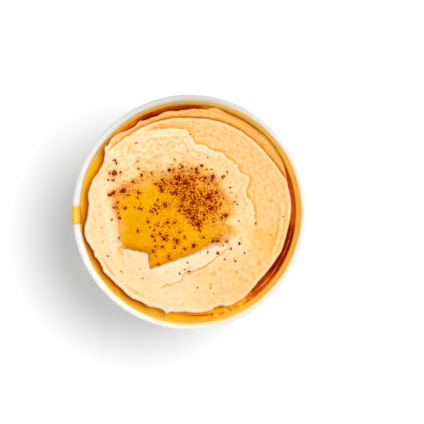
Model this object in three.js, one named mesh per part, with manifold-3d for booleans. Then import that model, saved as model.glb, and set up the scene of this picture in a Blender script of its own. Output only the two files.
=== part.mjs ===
/*
 * A round paperboard tub of hummus. The hummus is spooned into a crater that holds a pool of
 * olive oil and paprika, more oil lies in the moat between the hummus and the tub's wall, and
 * a tongue of it has crept over the rim at the tub's side seam.
 *
 * Millimetres, +Z up. The origin is the centre of the tub's base, on the surface it stands on.
 * Angles are in degrees, counterclockwise from +X, seen from above.
 */
import * as THREE from "three";
import { mergeVertices } from "three/addons/utils/BufferGeometryUtils.js";
import Module from "manifold-3d";

const wasm = await Module();
wasm.setup();

const { degToRad, euclideanModulo, lerp, smoothstep } = THREE.MathUtils;

// ---------------------------------------------------------------- driving dimensions

// Tub: a tapered paperboard wall with a rolled rim and a foot of folded board, and a separate
// base, a disc that is held above the fold.
const TUB_HEIGHT = 60;
const RIM_RADIUS = 49;
const BEAD_RADIUS = 1.3;
const BASE_RADIUS = 38.5;
const BOARD = 0.6;
const FOLDED_BOARD = 1.3;
const FLOOR_TOP = 5;
const TUB_FACETS = 64;
const BEAD_STEP = 30;

// Side seam: the board overlaps itself in a strip that runs from the foot over the rim.
// On the rolled rim the strip covers the angles between rollFrom and rollTo.
const SEAM = {
  angle: 181.5,
  width: 7.4,
  proud: 0.35,
  foot: 1.5,
  sunk: 0.3,
  rollProud: 0.12,
  rollFrom: -60,
  rollTo: 150,
};

// Room left between neighbouring solids.
const GAP = 0.3;

// Hummus: levels of its surface. It is lowest towards one side and rises to the crown over the
// given shares of the half turn away from it.
const CROWN = 57.6;
const SWATH_LEVEL = 57.0;
const RISE_TO_CROWN = { lowSide: 20, from: 0.35, to: 0.85 };
const EDGE_SHOULDER = { drop: 1.5, ledgeDrop: 0.6, width: 2.0 };

// Outline of the hummus about the tub's axis: a circle, pushed back, drawn out along one
// diagonal, with lobes of [angle, height, half width].
const EDGE = { radius: 43.0, push: 0.8, oval: 0.9 };
const EDGE_LOBES = [
  [136, 2.1, 7], // touches the wall
  [143.5, 1.4, 3],
  [150, -1.1, 6], // bay beside it
  [178, -0.5, 6],
  [191, 1.8, 6.5], // nose below the seam
  [211, -0.5, 7],
  [218, 0.8, 5],
  [229, -0.6, 4],
  [40, 1.45, 11], // bulge of the ledge
  [75, 1.0, 4],
  [14, -0.6, 6],
  [90, -0.5, 9],
  [107, -0.6, 8],
  [270, -0.25, 9],
  [281, 0.9, 3.5],
  [293, 0.5, 4],
  [301, 1.2, 8],
  [320, -0.5, 9],
  [350, -0.4, 11],
];
const EDGE_RAGGED = { height: 0.16, waves: [11, 17, 23] };
const EDGE_RADIUS_MAX = 45.4;
const FLANK_INSET = 0.7;
const FLANK_RADIUS_MAX = 43.9;

// Smear: where the outline touches the wall the hummus is drawn up it.
const SMEAR = { x: -34.6, y: 27.6, height: 2.2, width: 3.2 };

// Slow uneven sway of the surface: two waves, { height, along x, along y, start }.
const SWAY = [
  { height: 0.18, x: 5.3, y: 9.1, start: 0 },
  { height: 0.15, x: -7.9, y: 4.7, start: 1.3 },
];

// Ledge: a lower terrace outside the spoon's stroke, within half a turn of its middle, with a
// lower step near the hummus's edge.
const LEDGE = {
  middle: 81,
  half: 66,
  fade: 8,
  radius: 40.1,
  rise: 3.1,
  drop: 1.7,
  slope: 0.12,
  step: 0.5,
};
const LEDGE_DIP = [87, -0.7, 13];
const LOWER_STEP = { from: 24, to: 80, fade: 12, inset: 1.5, drop: 0.5, step: 0.4 };

// Crater: its centre, its shore as a circle with lobes, and its banks.
const CRATER = { x: -5.9, y: -5.4, radius: 23.1 };
const SHORE_LOBES = [
  [154, 4.2, 16], // the shore reaches out to the left
  [103, -2.4, 16],
  [3, -2.6, 6],
  [22, 0.6, 8],
];
const POOL_LEVEL = 53.2;
const POOL_DEPTH = 3.2;
const BED_FLATNESS = 2.4;
const BANK = { left: 6, top: 15, right: 9, topAngle: 90 };

// Ridge: the rough inner edge of the stroke, measured from the crater's centre. It swings out
// from near to middle and then to far, over two arcs along it.
const RIDGE = {
  start: -6,
  end: 112,
  fade: 14,
  near: 33,
  middle: 35.2,
  far: 41,
  firstSwing: [20, 32],
  secondSwing: [66, 100],
  drop: 1.0,
  step: 0.6,
};
const RIDGE_RAGGED = { height: 0.45, waves: [13, 21, 29] };
const SWATH_HOLLOW = 0.5;

// Lip: the raised outer edge of the stroke on the right.
const LIP = { from: -28, to: 9, radius: 39, height: 0.6, width: 1.0, fade: 6 };

// Flap: hummus folded over in a straight bank along the crater's lower side. Its crest leans
// towards the bank, which is steep at first and spreads out over a stretch along it.
const FLAP = {
  x: -16.9,
  y: -23.7,
  angle: 18.8,
  length: 36,
  bank: 0.5,
  spread: 4.2,
  spreadOver: [14, 34],
  crest: 0.7,
  lean: 0.6,
  fadeIn: 4,
  fadeOut: 5,
};

// Crease behind the flap: it jogs towards the bank and then runs in to it, over two stretches
// along the flap; the surface steps down behind it and comes back up by fadeOut.
const CREASE = {
  far: 8.9,
  middle: 7.0,
  near: 2.7,
  jog: [10, 13.5],
  runIn: [20, 35],
  depth: 0.6,
  width: 0.8,
  behind: 0.4,
  step: 0.8,
  fadeFrom: 1,
  fadeOut: 7,
};

// Notch: a square block of hummus that stands into the crater beside the flap.
const NOTCH = { x: -17.6, y: -17.2, tilt: 11, lean: 8, reach: 9.5, fade: 4, bank: 0.5 };

// Grooves that run along the edge at the lower left, [angle, radius, arc, depth].
const GROOVES = [
  [214, 41.6, 7, 0.7],
  [235, 40.6, 6, 0.6],
];
const GROOVE_WIDTH = 0.9;

// Moat of oil between the hummus and the tub's wall.
const MOAT_LEVEL = 52;
const MOAT_FLOOR = 46.2;

// Oil that has crept over the rim at the seam.
const TONGUE = { width: 7.2, thickness: 0.45, foot: 53, end: -35, step: 20 };

// Paprika: clumps placed by hand where the largest lie, [x, y, size], then smaller ones
// scattered by rule. A clump is a flattened grain, half sunk in what it lies on.
const CLUMPS = [
  [-4.7, 14.2, 2.4],
  [-1.9, 12.4, 2.1],
  [8.6, 6.7, 2.6],
  [9.2, 1.8, 1.9],
  [0.2, -0.4, 2.1],
  [1.5, -2.2, 1.9],
  [3.8, -4.8, 2.2],
  [1.5, 3.9, 1.9],
  [-9.9, 3.1, 2.0],
  [-9.1, -4.5, 1.6],
  [-12.5, -9.1, 1.5],
  [-10.7, -11.0, 1.7],
  [-11.2, -14.6, 1.5],
  [-15.0, -16.3, 1.4],
  [-8.7, -18.5, 1.5],
  [1.7, -14.6, 1.4],
  [-2.0, -15.4, 1.3],
  [15.4, -12.3, 1.4],
  [17.1, -15.3, 1.3],
  [-31.7, 16.1, 2.2],
  [-27.7, 8.9, 2.2],
  [5.1, 19.3, 1.5],
  [3.0, 17.9, 1.7],
  [9.9, 14.8, 2.1],
  [-8.3, 17.7, 1.7],
  [-15.8, 16.4, 1.3],
  [-21.2, 18.2, 1.2],
  [14.1, 14.8, 1.4],
  [-27.1, 1.6, 1.3],
  [-30.8, 20.4, 1.3],
  [-30.5, 2.2, 1.2],
];
const SCATTER = { seed: 7, count: 18, size: 1.1, x: -1, y: 6, reach: 17 };
const CLUMP_FLATNESS = 0.45;
const CLUMP_CLEARANCE = 0.45;

// Mesh of the hummus: rays from the crater's centre, with rings on the pool's bed, and then
// so many between the foot of the bank, the crease, the ridge, the ledge and the edge.
const RAYS = 96;
const BED_RINGS = [0.3, 0.55, 0.75, 0.9, 0.98];
const BANK_OFFSETS = [0, 0.6, 1.4];
const RINGS_TO_CREASE = 5;
const RINGS_TO_RIDGE = 5;
const RINGS_TO_LEDGE = 7;
const RINGS_TO_EDGE = 4;
const CREASE_RAYS = { from: 240, to: 345, fade: 15, restShare: 0.45 };
const RIDGE_SHARE_MAX = 0.82;
const LEDGE_WIDTH_MIN = 1.2;
const STROKE_WIDTH_MIN = 1.6;

// ---------------------------------------------------------------- small helpers

/** Signed difference of two angles, -180 to 180. */
function turn(angle, from) {
  return euclideanModulo(angle - from + 180, 360) - 180;
}

/** Direction of a point from a centre, in degrees. */
function heading(x, y, centre = { x: 0, y: 0 }) {
  return THREE.MathUtils.radToDeg(Math.atan2(y - centre.y, x - centre.x));
}

/** A bell that is 1 in the middle and has nearly died away at 2. */
function bell(reach) {
  return Math.exp(-(reach ** 2));
}

/** Height of one bell-shaped lobe, [angle, height, half width], at an angle. */
function lobe(angle, [middle, height, halfWidth]) {
  return height * bell(turn(angle, middle) / halfWidth);
}

/** Small regular raggedness round an outline. */
function ragged(angle, { height, waves }) {
  const swing = waves.map((count, k) => Math.sin(degToRad(count * angle) + k * 1.9));
  return height * swing.reduce((sum, value) => sum + value, 0);
}

/** 1 between two angles, falling to 0 over fade degrees at either end. */
function window(angle, from, to, fade) {
  const half = (to - from) / 2;
  const off = Math.abs(turn(angle, from + half));
  return 1 - smoothstep(off, half - fade, half);
}

// ---------------------------------------------------------------- tub

const bead = { r: RIM_RADIUS - BEAD_RADIUS, z: TUB_HEIGHT - BEAD_RADIUS };
const wallTopRadius = bead.r - BEAD_RADIUS;
const taper = (wallTopRadius + BOARD - BASE_RADIUS) / bead.z;

/** Inner radius of the tub's wall at a height. */
function innerRadius(z) {
  return wallTopRadius - taper * (bead.z - z);
}

/** Outer radius of the tub's wall at a height. */
function outerRadius(z) {
  return innerRadius(z) + BOARD;
}

/** Points on a circle round the rim's bead, as (radius, height). */
function beadArc(radius, from, to, step = BEAD_STEP) {
  const count = Math.round(Math.abs(to - from) / step);
  return Array.from({ length: count + 1 }, (_, k) => {
    const angle = degToRad(lerp(from, to, k / count));
    return new THREE.Vector2(bead.r + radius * Math.cos(angle), bead.z + radius * Math.sin(angle));
  });
}

/** Closed section of the wall: folded foot, outer face, rolled rim and inner face. */
function wallProfile() {
  const foldTop = FLOOR_TOP - BOARD - GAP;
  const rollStart = bead.z - BEAD_RADIUS;
  const start = new THREE.Vector2(outerRadius(foldTop) - FOLDED_BOARD, foldTop);
  return [
    start,
    new THREE.Vector2(BASE_RADIUS - FOLDED_BOARD, 0),
    new THREE.Vector2(BASE_RADIUS, 0),
    new THREE.Vector2(outerRadius(rollStart), rollStart),
    ...beadArc(BEAD_RADIUS, -90, 180),
    new THREE.Vector2(innerRadius(foldTop), foldTop),
    start,
  ];
}

/** Section of the base: a disc just clear of the wall, above its fold. */
function baseProfile() {
  const underside = FLOOR_TOP - BOARD;
  return [
    new THREE.Vector2(0, underside),
    new THREE.Vector2(innerRadius(underside) - GAP, underside),
    new THREE.Vector2(innerRadius(FLOOR_TOP) - GAP, FLOOR_TOP),
    new THREE.Vector2(0, FLOOR_TOP),
  ];
}

/** Section of the seam's strip: a band just outside the wall, carried round the bead. */
function seamProfile() {
  const { proud, rollProud, rollFrom, rollTo, foot, sunk } = SEAM;
  const rollStart = bead.z - BEAD_RADIUS;
  return [
    new THREE.Vector2(outerRadius(foot) - sunk, foot),
    new THREE.Vector2(outerRadius(foot) + proud, foot),
    new THREE.Vector2(outerRadius(rollStart) + proud, rollStart - proud),
    ...beadArc(BEAD_RADIUS + rollProud, rollFrom, rollTo),
    ...beadArc(BEAD_RADIUS - sunk, rollTo, rollFrom),
    new THREE.Vector2(outerRadius(rollStart) - sunk, rollStart),
  ];
}

/** A section in (radius, height), carried straight across at the seam's angle. */
function acrossSeam(points, width) {
  const geometry = new THREE.ExtrudeGeometry(new THREE.Shape(points), {
    depth: width,
    steps: 1,
    bevelEnabled: false,
  });
  geometry.translate(0, 0, -width / 2);
  geometry.rotateX(Math.PI / 2);
  geometry.rotateZ(degToRad(SEAM.angle));
  return geometry;
}

/** A section in (radius, height), spun round the tub's axis. */
function spin(points) {
  const geometry = new THREE.LatheGeometry(points, TUB_FACETS);
  geometry.rotateX(Math.PI / 2);
  return geometry;
}

function makeWall() {
  return fuse([spin(wallProfile()), acrossSeam(seamProfile(), SEAM.width)]);
}

// ---------------------------------------------------------------- form of the hummus

/** Radius of the hummus's outline about the tub's axis. */
function edgeRadius(angle) {
  const { radius, push, oval } = EDGE;
  const round = radius + push * Math.sin(degToRad(angle)) + oval * Math.sin(degToRad(2 * angle));
  const lobes = EDGE_LOBES.reduce((sum, item) => sum + lobe(angle, item), 0);
  return Math.min(round + lobes + ragged(angle, EDGE_RAGGED), EDGE_RADIUS_MAX);
}

/** Radius of the hummus at the moat's level, where its side is drawn in. */
function flankRadius(angle) {
  return Math.min(edgeRadius(angle) - FLANK_INSET, FLANK_RADIUS_MAX);
}

/** Radius of the crater's round shore about its own centre. */
function shoreRadius(angle) {
  return SHORE_LOBES.reduce((sum, item) => sum + lobe(angle, item), CRATER.radius);
}

/** Radius of the ridge about the crater's centre: it swings out towards the back. */
function ridgeRadius(angle) {
  const { near, middle, far, firstSwing, secondSwing } = RIDGE;
  const along = turn(angle, secondSwing[0]) + secondSwing[0];
  const first = smoothstep(along, ...firstSwing) * (middle - near);
  const second = smoothstep(along, ...secondSwing) * (far - middle);
  return near + first + second + ragged(angle, RIDGE_RAGGED);
}

/** Radius of the ledge's inner edge about the tub's axis. */
function ledgeRadius(angle) {
  const reach = turn(angle, LEDGE.middle) / LEDGE.half;
  return LEDGE.radius + LEDGE.rise * reach ** 4 + lobe(angle, LEDGE_DIP);
}

/** How far a point is along the flap, and how far behind its bank. */
function flapCoordinates(x, y) {
  const angle = degToRad(FLAP.angle);
  const [dx, dy] = [x - FLAP.x, y - FLAP.y];
  return {
    along: dx * Math.cos(angle) + dy * Math.sin(angle),
    behind: dx * Math.sin(angle) - dy * Math.cos(angle),
  };
}

/** Distance of the crease behind the flap's bank, at a place along it. */
function creaseDistance(along) {
  const { far, middle, near, jog, runIn } = CREASE;
  const jogged = smoothstep(along, ...jog) * (far - middle);
  return far - jogged - smoothstep(along, ...runIn) * (middle - near);
}

/** Raised flap and the crease behind it, as a change of height. */
function flapRelief(x, y) {
  const { along, behind } = flapCoordinates(x, y);
  const { depth, width, step, fadeFrom, fadeOut } = CREASE;
  const crease = creaseDistance(along);
  const ends = smoothstep(along, FLAP.length - FLAP.fadeOut, FLAP.length);
  const present = smoothstep(along, 0, FLAP.fadeIn) * (1 - ends);
  const across = THREE.MathUtils.clamp(behind / crease, 0, 1);
  const crest = FLAP.crest * Math.sin(Math.PI * across ** FLAP.lean);
  const cut = depth * bell((behind - crease) / width);
  const drop = CREASE.behind * smoothstep(behind, crease - step / 2, crease + step / 2);
  const fall = drop * (1 - smoothstep(behind, crease + fadeFrom, crease + fadeOut));
  return present * (crest - cut - fall);
}

/** 1 along the ledge, and 0 away from it. */
function ledgePresence(angle) {
  const { middle, half, fade } = LEDGE;
  return window(angle, middle - half, middle + half, fade);
}

/** Smooth step from 0 to 1 of a given width, with its middle at a radius. */
function stepAt(radius, middle, width) {
  return smoothstep(radius, middle - width / 2, middle + width / 2);
}

/** Drop of the ledge outside the stroke, with a lower step near the hummus's edge. */
function ledgeRelief(angle, radius, edge) {
  const inner = ledgeRadius(angle);
  const fall = LEDGE.drop * stepAt(radius, inner, LEDGE.step);
  const lean = LEDGE.slope * Math.max(0, radius - inner);
  const lower = LOWER_STEP.drop * window(angle, LOWER_STEP.from, LOWER_STEP.to, LOWER_STEP.fade);
  const stepDown = lower * stepAt(radius, edge - LOWER_STEP.inset, LOWER_STEP.step);
  return -ledgePresence(angle) * (fall + lean + stepDown);
}

/** Drop from the rough ridge into the spoon's stroke, and the hollow of the stroke. */
function strokeRelief(angle, radius, reach) {
  const ridge = ridgeRadius(angle);
  const present = window(angle, RIDGE.start, RIDGE.end, RIDGE.fade);
  const inside = 1 - stepAt(radius, ridge, RIDGE.step);
  const across = THREE.MathUtils.clamp((radius - ridge) / Math.max(reach - ridge, 1), 0, 1);
  return present * (RIDGE.drop * inside - SWATH_HOLLOW * Math.sin(Math.PI * across));
}

/** Depth of the grooves along the edge. */
function grooveDepth(angle, radius) {
  return GROOVES.reduce((sum, [middle, at, arc, depth]) => {
    return sum + lobe(angle, [middle, depth, arc]) * bell((radius - at) / GROOVE_WIDTH);
  }, 0);
}

/** Rounding of the hummus's edge, less deep on the ledge. */
function shoulderDrop(angle, radius, edge) {
  const { drop, ledgeDrop, width } = EDGE_SHOULDER;
  const inset = THREE.MathUtils.clamp((radius - edge + width) / width, 0, 1);
  return lerp(drop, ledgeDrop, ledgePresence(angle)) * (1 - Math.sqrt(1 - inset ** 2));
}

/** Slow uneven sway of the whole surface. */
function sway(x, y) {
  return SWAY.reduce((sum, wave) => {
    return sum + wave.height * Math.sin(x / wave.x + y / wave.y + wave.start);
  }, 0);
}

/** Height of the hummus's upper surface as if the crater had not been pressed into it. */
function topHeight(x, y) {
  const angle = heading(x, y);
  const radius = Math.hypot(x, y);
  const edge = edgeRadius(angle);
  const craterAngle = heading(x, y, CRATER);
  const craterRadius = Math.hypot(x - CRATER.x, y - CRATER.y);
  const { lowSide, from, to } = RISE_TO_CROWN;
  const away = (1 - Math.cos(degToRad(turn(angle, lowSide)))) / 2;
  const level = lerp(SWATH_LEVEL, CROWN, smoothstep(away, from, to));
  const reach = craterRadius + ledgeRadius(angle) - radius;
  const lipHeight = LIP.height * window(angle, LIP.from, LIP.to, LIP.fade);
  const lip = lipHeight * bell((radius - LIP.radius) / LIP.width);
  const smear = SMEAR.height * bell(Math.hypot(x - SMEAR.x, y - SMEAR.y) / SMEAR.width);
  return (
    level +
    strokeRelief(craterAngle, craterRadius, reach) +
    ledgeRelief(angle, radius, edge) +
    flapRelief(x, y) +
    sway(x, y) +
    lip +
    smear -
    grooveDepth(angle, radius) -
    shoulderDrop(angle, radius, edge)
  );
}

/** Width of the crater's round bank, from its shore up to the surface round it. */
function bankWidth(angle) {
  const back = Math.max(0, Math.cos(degToRad(turn(angle, BANK.topAngle)))) ** 2;
  const side = Math.cos(degToRad(angle)) > 0 ? BANK.right : BANK.left;
  return lerp(side, BANK.top, back);
}

/** Height of the crater's bed, which would run on outside as a bank up to the surface. */
function bowlHeight(angle, radius, top) {
  const shore = shoreRadius(angle);
  const inside = Math.min(radius / shore, 1);
  const bed = POOL_LEVEL - POOL_DEPTH * (1 - inside ** BED_FLATNESS);
  const rise = THREE.MathUtils.clamp((radius - shore) / bankWidth(angle), 0, 1);
  return bed + (top - POOL_LEVEL) * (1 - (1 - rise) ** 2);
}

/** Share of the way up the flap's bank, 0 in the crater and 1 on the flap. */
function flapBank(x, y) {
  const { along, behind } = flapCoordinates(x, y);
  const spread = FLAP.spread * smoothstep(along, ...FLAP.spreadOver);
  return smoothstep(behind, -FLAP.bank - spread, FLAP.bank);
}

/** Share of the way up the notch's two banks, fading out where it joins the round bank. */
function notchBank(x, y) {
  const { bank, reach, fade } = NOTCH;
  const tilt = degToRad(NOTCH.tilt);
  const lean = degToRad(NOTCH.lean);
  const [dx, dy] = [x - NOTCH.x, y - NOTCH.y];
  const beside = -dx * Math.cos(lean) - dy * Math.sin(lean);
  const below = -dx * Math.sin(tilt) - dy * Math.cos(tilt);
  const inside = Math.min(beside, below);
  return smoothstep(inside, -bank, bank) * (1 - smoothstep(beside, reach, reach + fade));
}

/** Height of the hummus at a point: the highest of the bowl, the flap and the notch. */
function surfaceHeight(x, y) {
  const top = topHeight(x, y);
  const angle = heading(x, y, CRATER);
  const radius = Math.hypot(x - CRATER.x, y - CRATER.y);
  const bowl = bowlHeight(angle, radius, top);
  const bank = Math.max(flapBank(x, y), notchBank(x, y));
  return lerp(bowl, top, bank);
}

// ---------------------------------------------------------------- meshes of rings and rays

/** A point on the ray from the crater's centre at an angle, at a distance. */
function onRay(angle, distance) {
  return {
    x: CRATER.x + distance * Math.cos(degToRad(angle)),
    y: CRATER.y + distance * Math.sin(degToRad(angle)),
  };
}

/** First distance along a ray at which a test turns true, found in steps and then halved. */
function firstDistance(angle, start, passes) {
  const stride = 0.25;
  let near = start;
  while (!passes(onRay(angle, near + stride))) {
    near += stride;
  }
  let far = near + stride;
  for (let k = 0; k < 20; k += 1) {
    const middle = (near + far) / 2;
    if (passes(onRay(angle, middle))) {
      far = middle;
    } else {
      near = middle;
    }
  }
  return far;
}

/** Distance along a ray to a circle about the tub's axis. */
function toCircle(angle, radius) {
  const ray = degToRad(angle);
  const middle = -(CRATER.x * Math.cos(ray) + CRATER.y * Math.sin(ray));
  return middle + Math.sqrt(middle ** 2 + radius ** 2 - CRATER.x ** 2 - CRATER.y ** 2);
}

/** Distance along a ray from the crater's centre to an outline about the tub's axis. */
function toOutline(angle, radiusAt) {
  const passes = ({ x, y }) => Math.hypot(x, y) > radiusAt(heading(x, y));
  return firstDistance(angle, CRATER.radius / 2, passes);
}

/** Distance along a ray from the crater's centre to the pool's shore. */
function toShore(angle) {
  return firstDistance(angle, CRATER.radius / 2, ({ x, y }) => surfaceHeight(x, y) > POOL_LEVEL);
}

/** Distance along a ray to the crease behind the flap, or a share of the way elsewhere. */
function toCrease(angle, shore, ridge) {
  const { from, to, fade, restShare } = CREASE_RAYS;
  const rest = lerp(shore, ridge, restShare);
  const present = window(angle, from, to, fade);
  if (present === 0) {
    return rest;
  }
  const passes = ({ x, y }) => {
    const { along, behind } = flapCoordinates(x, y);
    return behind > creaseDistance(along);
  };
  return lerp(rest, Math.min(firstDistance(angle, shore, passes), ridge - 2 * CREASE.width), present);
}

/** The distances that matter along each ray, from the pool's shore to the edge. */
const rays = Array.from({ length: RAYS }, (_, k) => {
  const angle = (360 * k) / RAYS;
  const shore = toShore(angle);
  const edge = toOutline(angle, edgeRadius);
  const ridge = Math.min(ridgeRadius(angle), lerp(shore, edge, RIDGE_SHARE_MAX));
  const step = Math.min(toOutline(angle, ledgeRadius), edge - LEDGE_WIDTH_MIN);
  const ledge = Math.max(step, ridge + STROKE_WIDTH_MIN);
  const crease = toCrease(angle, shore, ridge);
  return { angle, shore, crease, ridge, ledge, edge, flank: toOutline(angle, flankRadius) };
});

/** A closed body of rings round the crater's centre line. Each ring is a function of the
 *  ray that gives a distance and a height; the first and last rings are single points. */
function ringBody(rings) {
  const last = rings.length - 1;
  const profile = rings.map((_, k) => new THREE.Vector2(k === 0 || k === last ? 0 : 1, k));
  return placeRings(profile, rings);
}

/** A closed loop of rings: the last ring is the first again. */
function ringLoop(rings) {
  const profile = [...rings, rings[0]].map((_, k) => new THREE.Vector2(1, k));
  return placeRings(profile, [...rings, rings[0]]);
}

/** A lathe's mesh with each of its vertices moved to its ring's place on its ray. */
function placeRings(profile, rings) {
  const geometry = new THREE.LatheGeometry(profile, RAYS);
  const position = geometry.attributes.position;
  for (let k = 0; k < position.count; k += 1) {
    const ray = rays[Math.floor(k / rings.length) % RAYS];
    const { distance, height } = rings[k % rings.length](ray);
    const { x, y } = onRay(ray.angle, distance);
    position.setXYZ(k, x, y, height);
  }
  return geometry;
}

/** A ring on the hummus's surface at a distance along each ray. */
function surfaceRing(distanceOn) {
  return (ray) => {
    const distance = distanceOn(ray);
    const { x, y } = onRay(ray.angle, distance);
    return { distance, height: surfaceHeight(x, y) };
  };
}

/** A ring at one height, at a distance along each ray. */
function levelRing(height, distanceOn) {
  return (ray) => ({ distance: distanceOn(ray), height });
}

/** Distance along a ray to the tub's wall at a height, less the gap. */
function wallDistance(ray, height) {
  return toCircle(ray.angle, innerRadius(height) - GAP);
}

// ---------------------------------------------------------------- hummus and oil

/** Distances of count rings between two places on each ray, the first place left out. */
function between(count, from, to) {
  return Array.from({ length: count }, (_, k) => (ray) => lerp(from(ray), to(ray), (k + 1) / count));
}

/** Distance to one of a ray's places, and a step before or beyond it. */
function at(place, offset = 0) {
  return (ray) => ray[place] + offset;
}

/** Distances of the rings from the shore to the edge, with a pair or more at each step. */
function outwardDistances() {
  const bankFoot = at("shore", BANK_OFFSETS.at(-1));
  const pastRidge = at("ridge", RIDGE.step / 2);
  const pastLedge = at("ledge", LEDGE.step / 2);
  return [
    ...BANK_OFFSETS.map((offset) => at("shore", offset)),
    ...between(RINGS_TO_CREASE, bankFoot, at("crease", -CREASE.width)),
    at("crease"),
    at("crease", CREASE.width),
    ...between(RINGS_TO_RIDGE, at("crease", CREASE.width), at("ridge", -RIDGE.step / 2)),
    pastRidge,
    ...between(RINGS_TO_LEDGE, pastRidge, at("ledge", -LEDGE.step / 2)),
    pastLedge,
    ...between(RINGS_TO_EDGE, pastLedge, at("edge")),
  ];
}

function hummusRings() {
  const bottom = FLOOR_TOP + GAP;
  return [
    levelRing(bottom, () => 0),
    levelRing(bottom, (ray) => wallDistance(ray, bottom)),
    levelRing(MOAT_FLOOR, (ray) => wallDistance(ray, MOAT_FLOOR)),
    levelRing(MOAT_FLOOR + GAP, (ray) => ray.flank),
    levelRing(MOAT_LEVEL + GAP, (ray) => ray.flank),
    ...outwardDistances().reverse().map(surfaceRing),
    ...[...BED_RINGS].reverse().map((share) => surfaceRing((ray) => ray.shore * share)),
    levelRing(surfaceHeight(CRATER.x, CRATER.y), () => 0),
  ];
}

/** Oil in the crater: flat on top, and a gap above the bed below. */
function makePool() {
  const bed = (share) => (ray) => {
    const ring = surfaceRing(() => ray.shore * share)(ray);
    return { distance: ring.distance, height: Math.min(ring.height + GAP, POOL_LEVEL - 0.1) };
  };
  const rim = BED_RINGS.at(-2) + 0.02;
  return ringBody([
    levelRing(surfaceHeight(CRATER.x, CRATER.y) + GAP, () => 0),
    ...BED_RINGS.slice(0, -1).map(bed),
    levelRing(POOL_LEVEL, (ray) => ray.shore * rim),
    levelRing(POOL_LEVEL, () => 0),
  ]);
}

/** Oil in the moat: a ring between the hummus's flank and the tub's wall. */
function makeMoat() {
  const bottom = MOAT_FLOOR + 2 * GAP;
  return ringLoop([
    levelRing(bottom, (ray) => wallDistance(ray, bottom)),
    levelRing(MOAT_LEVEL, (ray) => wallDistance(ray, MOAT_LEVEL)),
    levelRing(MOAT_LEVEL, (ray) => ray.flank + GAP),
    levelRing(bottom, (ray) => ray.flank + GAP),
  ]);
}

/** Oil over the rim: a band that follows the inner wall and the bead at the seam. */
function makeTongue() {
  const { width, thickness, foot, end, step } = TONGUE;
  const near = BEAD_RADIUS + SEAM.rollProud + GAP;
  const inner = [new THREE.Vector2(innerRadius(foot) - GAP, foot), ...beadArc(near, 180, end, step)];
  const outer = [
    new THREE.Vector2(innerRadius(foot) - GAP - thickness, foot),
    ...beadArc(near + thickness, 180, end, step),
  ];
  return acrossSeam([...inner, ...outer.reverse()], width);
}

// ---------------------------------------------------------------- paprika

/** Repeatable random numbers from 0 to 1, from a whole-number seed. */
function randomFrom(seed) {
  let state = seed;
  return () => {
    state = (state * 16807) % 2147483647;
    return state / 2147483647;
  };
}

/** All clumps, [x, y, size]: the large ones, then the scattered ones round the pool. */
function allClumps() {
  const random = randomFrom(SCATTER.seed);
  const scattered = Array.from({ length: SCATTER.count }, () => {
    const angle = 2 * Math.PI * random();
    const distance = SCATTER.reach * Math.sqrt(random());
    const size = SCATTER.size * (0.8 + 0.4 * random());
    return [SCATTER.x + distance * Math.cos(angle), SCATTER.y + distance * Math.sin(angle), size];
  });
  return [...CLUMPS, ...scattered];
}

/** One clump, flattened and turned, at a height. */
function makeClump([x, y, size], height) {
  const geometry = new THREE.IcosahedronGeometry(size / 2, 0);
  geometry.scale(1, 0.8, CLUMP_FLATNESS);
  geometry.rotateZ(x + y);
  geometry.translate(x, y, height);
  return geometry;
}

/** Distance of a point from the pool's shore along its ray, positive outside the pool. */
function beyondShore(x, y) {
  const distance = Math.hypot(x - CRATER.x, y - CRATER.y);
  return distance - toShore(heading(x, y, CRATER));
}

/** Clumps that lie on the hummus, and those that float on the pool; the rest are skipped. */
function sortClumps() {
  const onHummus = [];
  const onPool = [];
  for (const clump of allClumps()) {
    const [x, y, size] = clump;
    const beyond = beyondShore(x, y);
    if (beyond > size / 2 + CLUMP_CLEARANCE) {
      onHummus.push(makeClump(clump, surfaceHeight(x, y)));
    } else if (beyond < -(size + 4 * CLUMP_CLEARANCE)) {
      onPool.push(makeClump(clump, POOL_LEVEL));
    }
  }
  return { onHummus, onPool };
}

// ---------------------------------------------------------------- joining

/** A closed three.js geometry as a solid. */
function toSolid(geometry) {
  const bare = geometry.clone();
  bare.deleteAttribute("normal");
  bare.deleteAttribute("uv");
  const merged = mergeVertices(bare, 1e-4);
  const mesh = new wasm.Mesh({
    numProp: 3,
    vertProperties: new Float32Array(merged.attributes.position.array),
    triVerts: new Uint32Array(merged.index.array),
  });
  return new wasm.Manifold(mesh);
}

/** A solid as a three.js geometry. */
function toGeometry(solid) {
  const { vertProperties, triVerts } = solid.getMesh();
  const geometry = new THREE.BufferGeometry();
  geometry.setAttribute("position", new THREE.BufferAttribute(vertProperties, 3));
  geometry.setIndex(new THREE.BufferAttribute(triVerts, 1));
  geometry.computeVertexNormals();
  return geometry;
}

/** Several closed geometries joined into one. */
function fuse(geometries) {
  const solids = geometries.map(toSolid);
  return toGeometry(solids.reduce((whole, solid) => whole.add(solid)));
}

// ---------------------------------------------------------------- the part

function finish(color, roughness) {
  return new THREE.MeshStandardMaterial({ color, roughness, metalness: 0 });
}

function addMesh(group, name, geometry, material) {
  const mesh = new THREE.Mesh(geometry, material);
  mesh.name = name;
  group.add(mesh);
}

const clumps = sortClumps();
const group = new THREE.Group();
addMesh(group, "tub_wall", makeWall(), finish(0xf7f7f5, 0.55));
addMesh(group, "tub_base", fuse([spin(baseProfile())]), finish(0xf7f7f5, 0.55));
addMesh(group, "hummus", fuse([ringBody(hummusRings()), ...clumps.onHummus]), finish(0xfadcae, 0.6));
addMesh(group, "oil_pool", fuse([makePool(), ...clumps.onPool]), finish(0xe8a510, 0.1));
addMesh(group, "oil_moat", makeMoat(), finish(0xd98a12, 0.1));
addMesh(group, "oil_over_rim", makeTongue(), finish(0xf2a81e, 0.1));

export default group;
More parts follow.
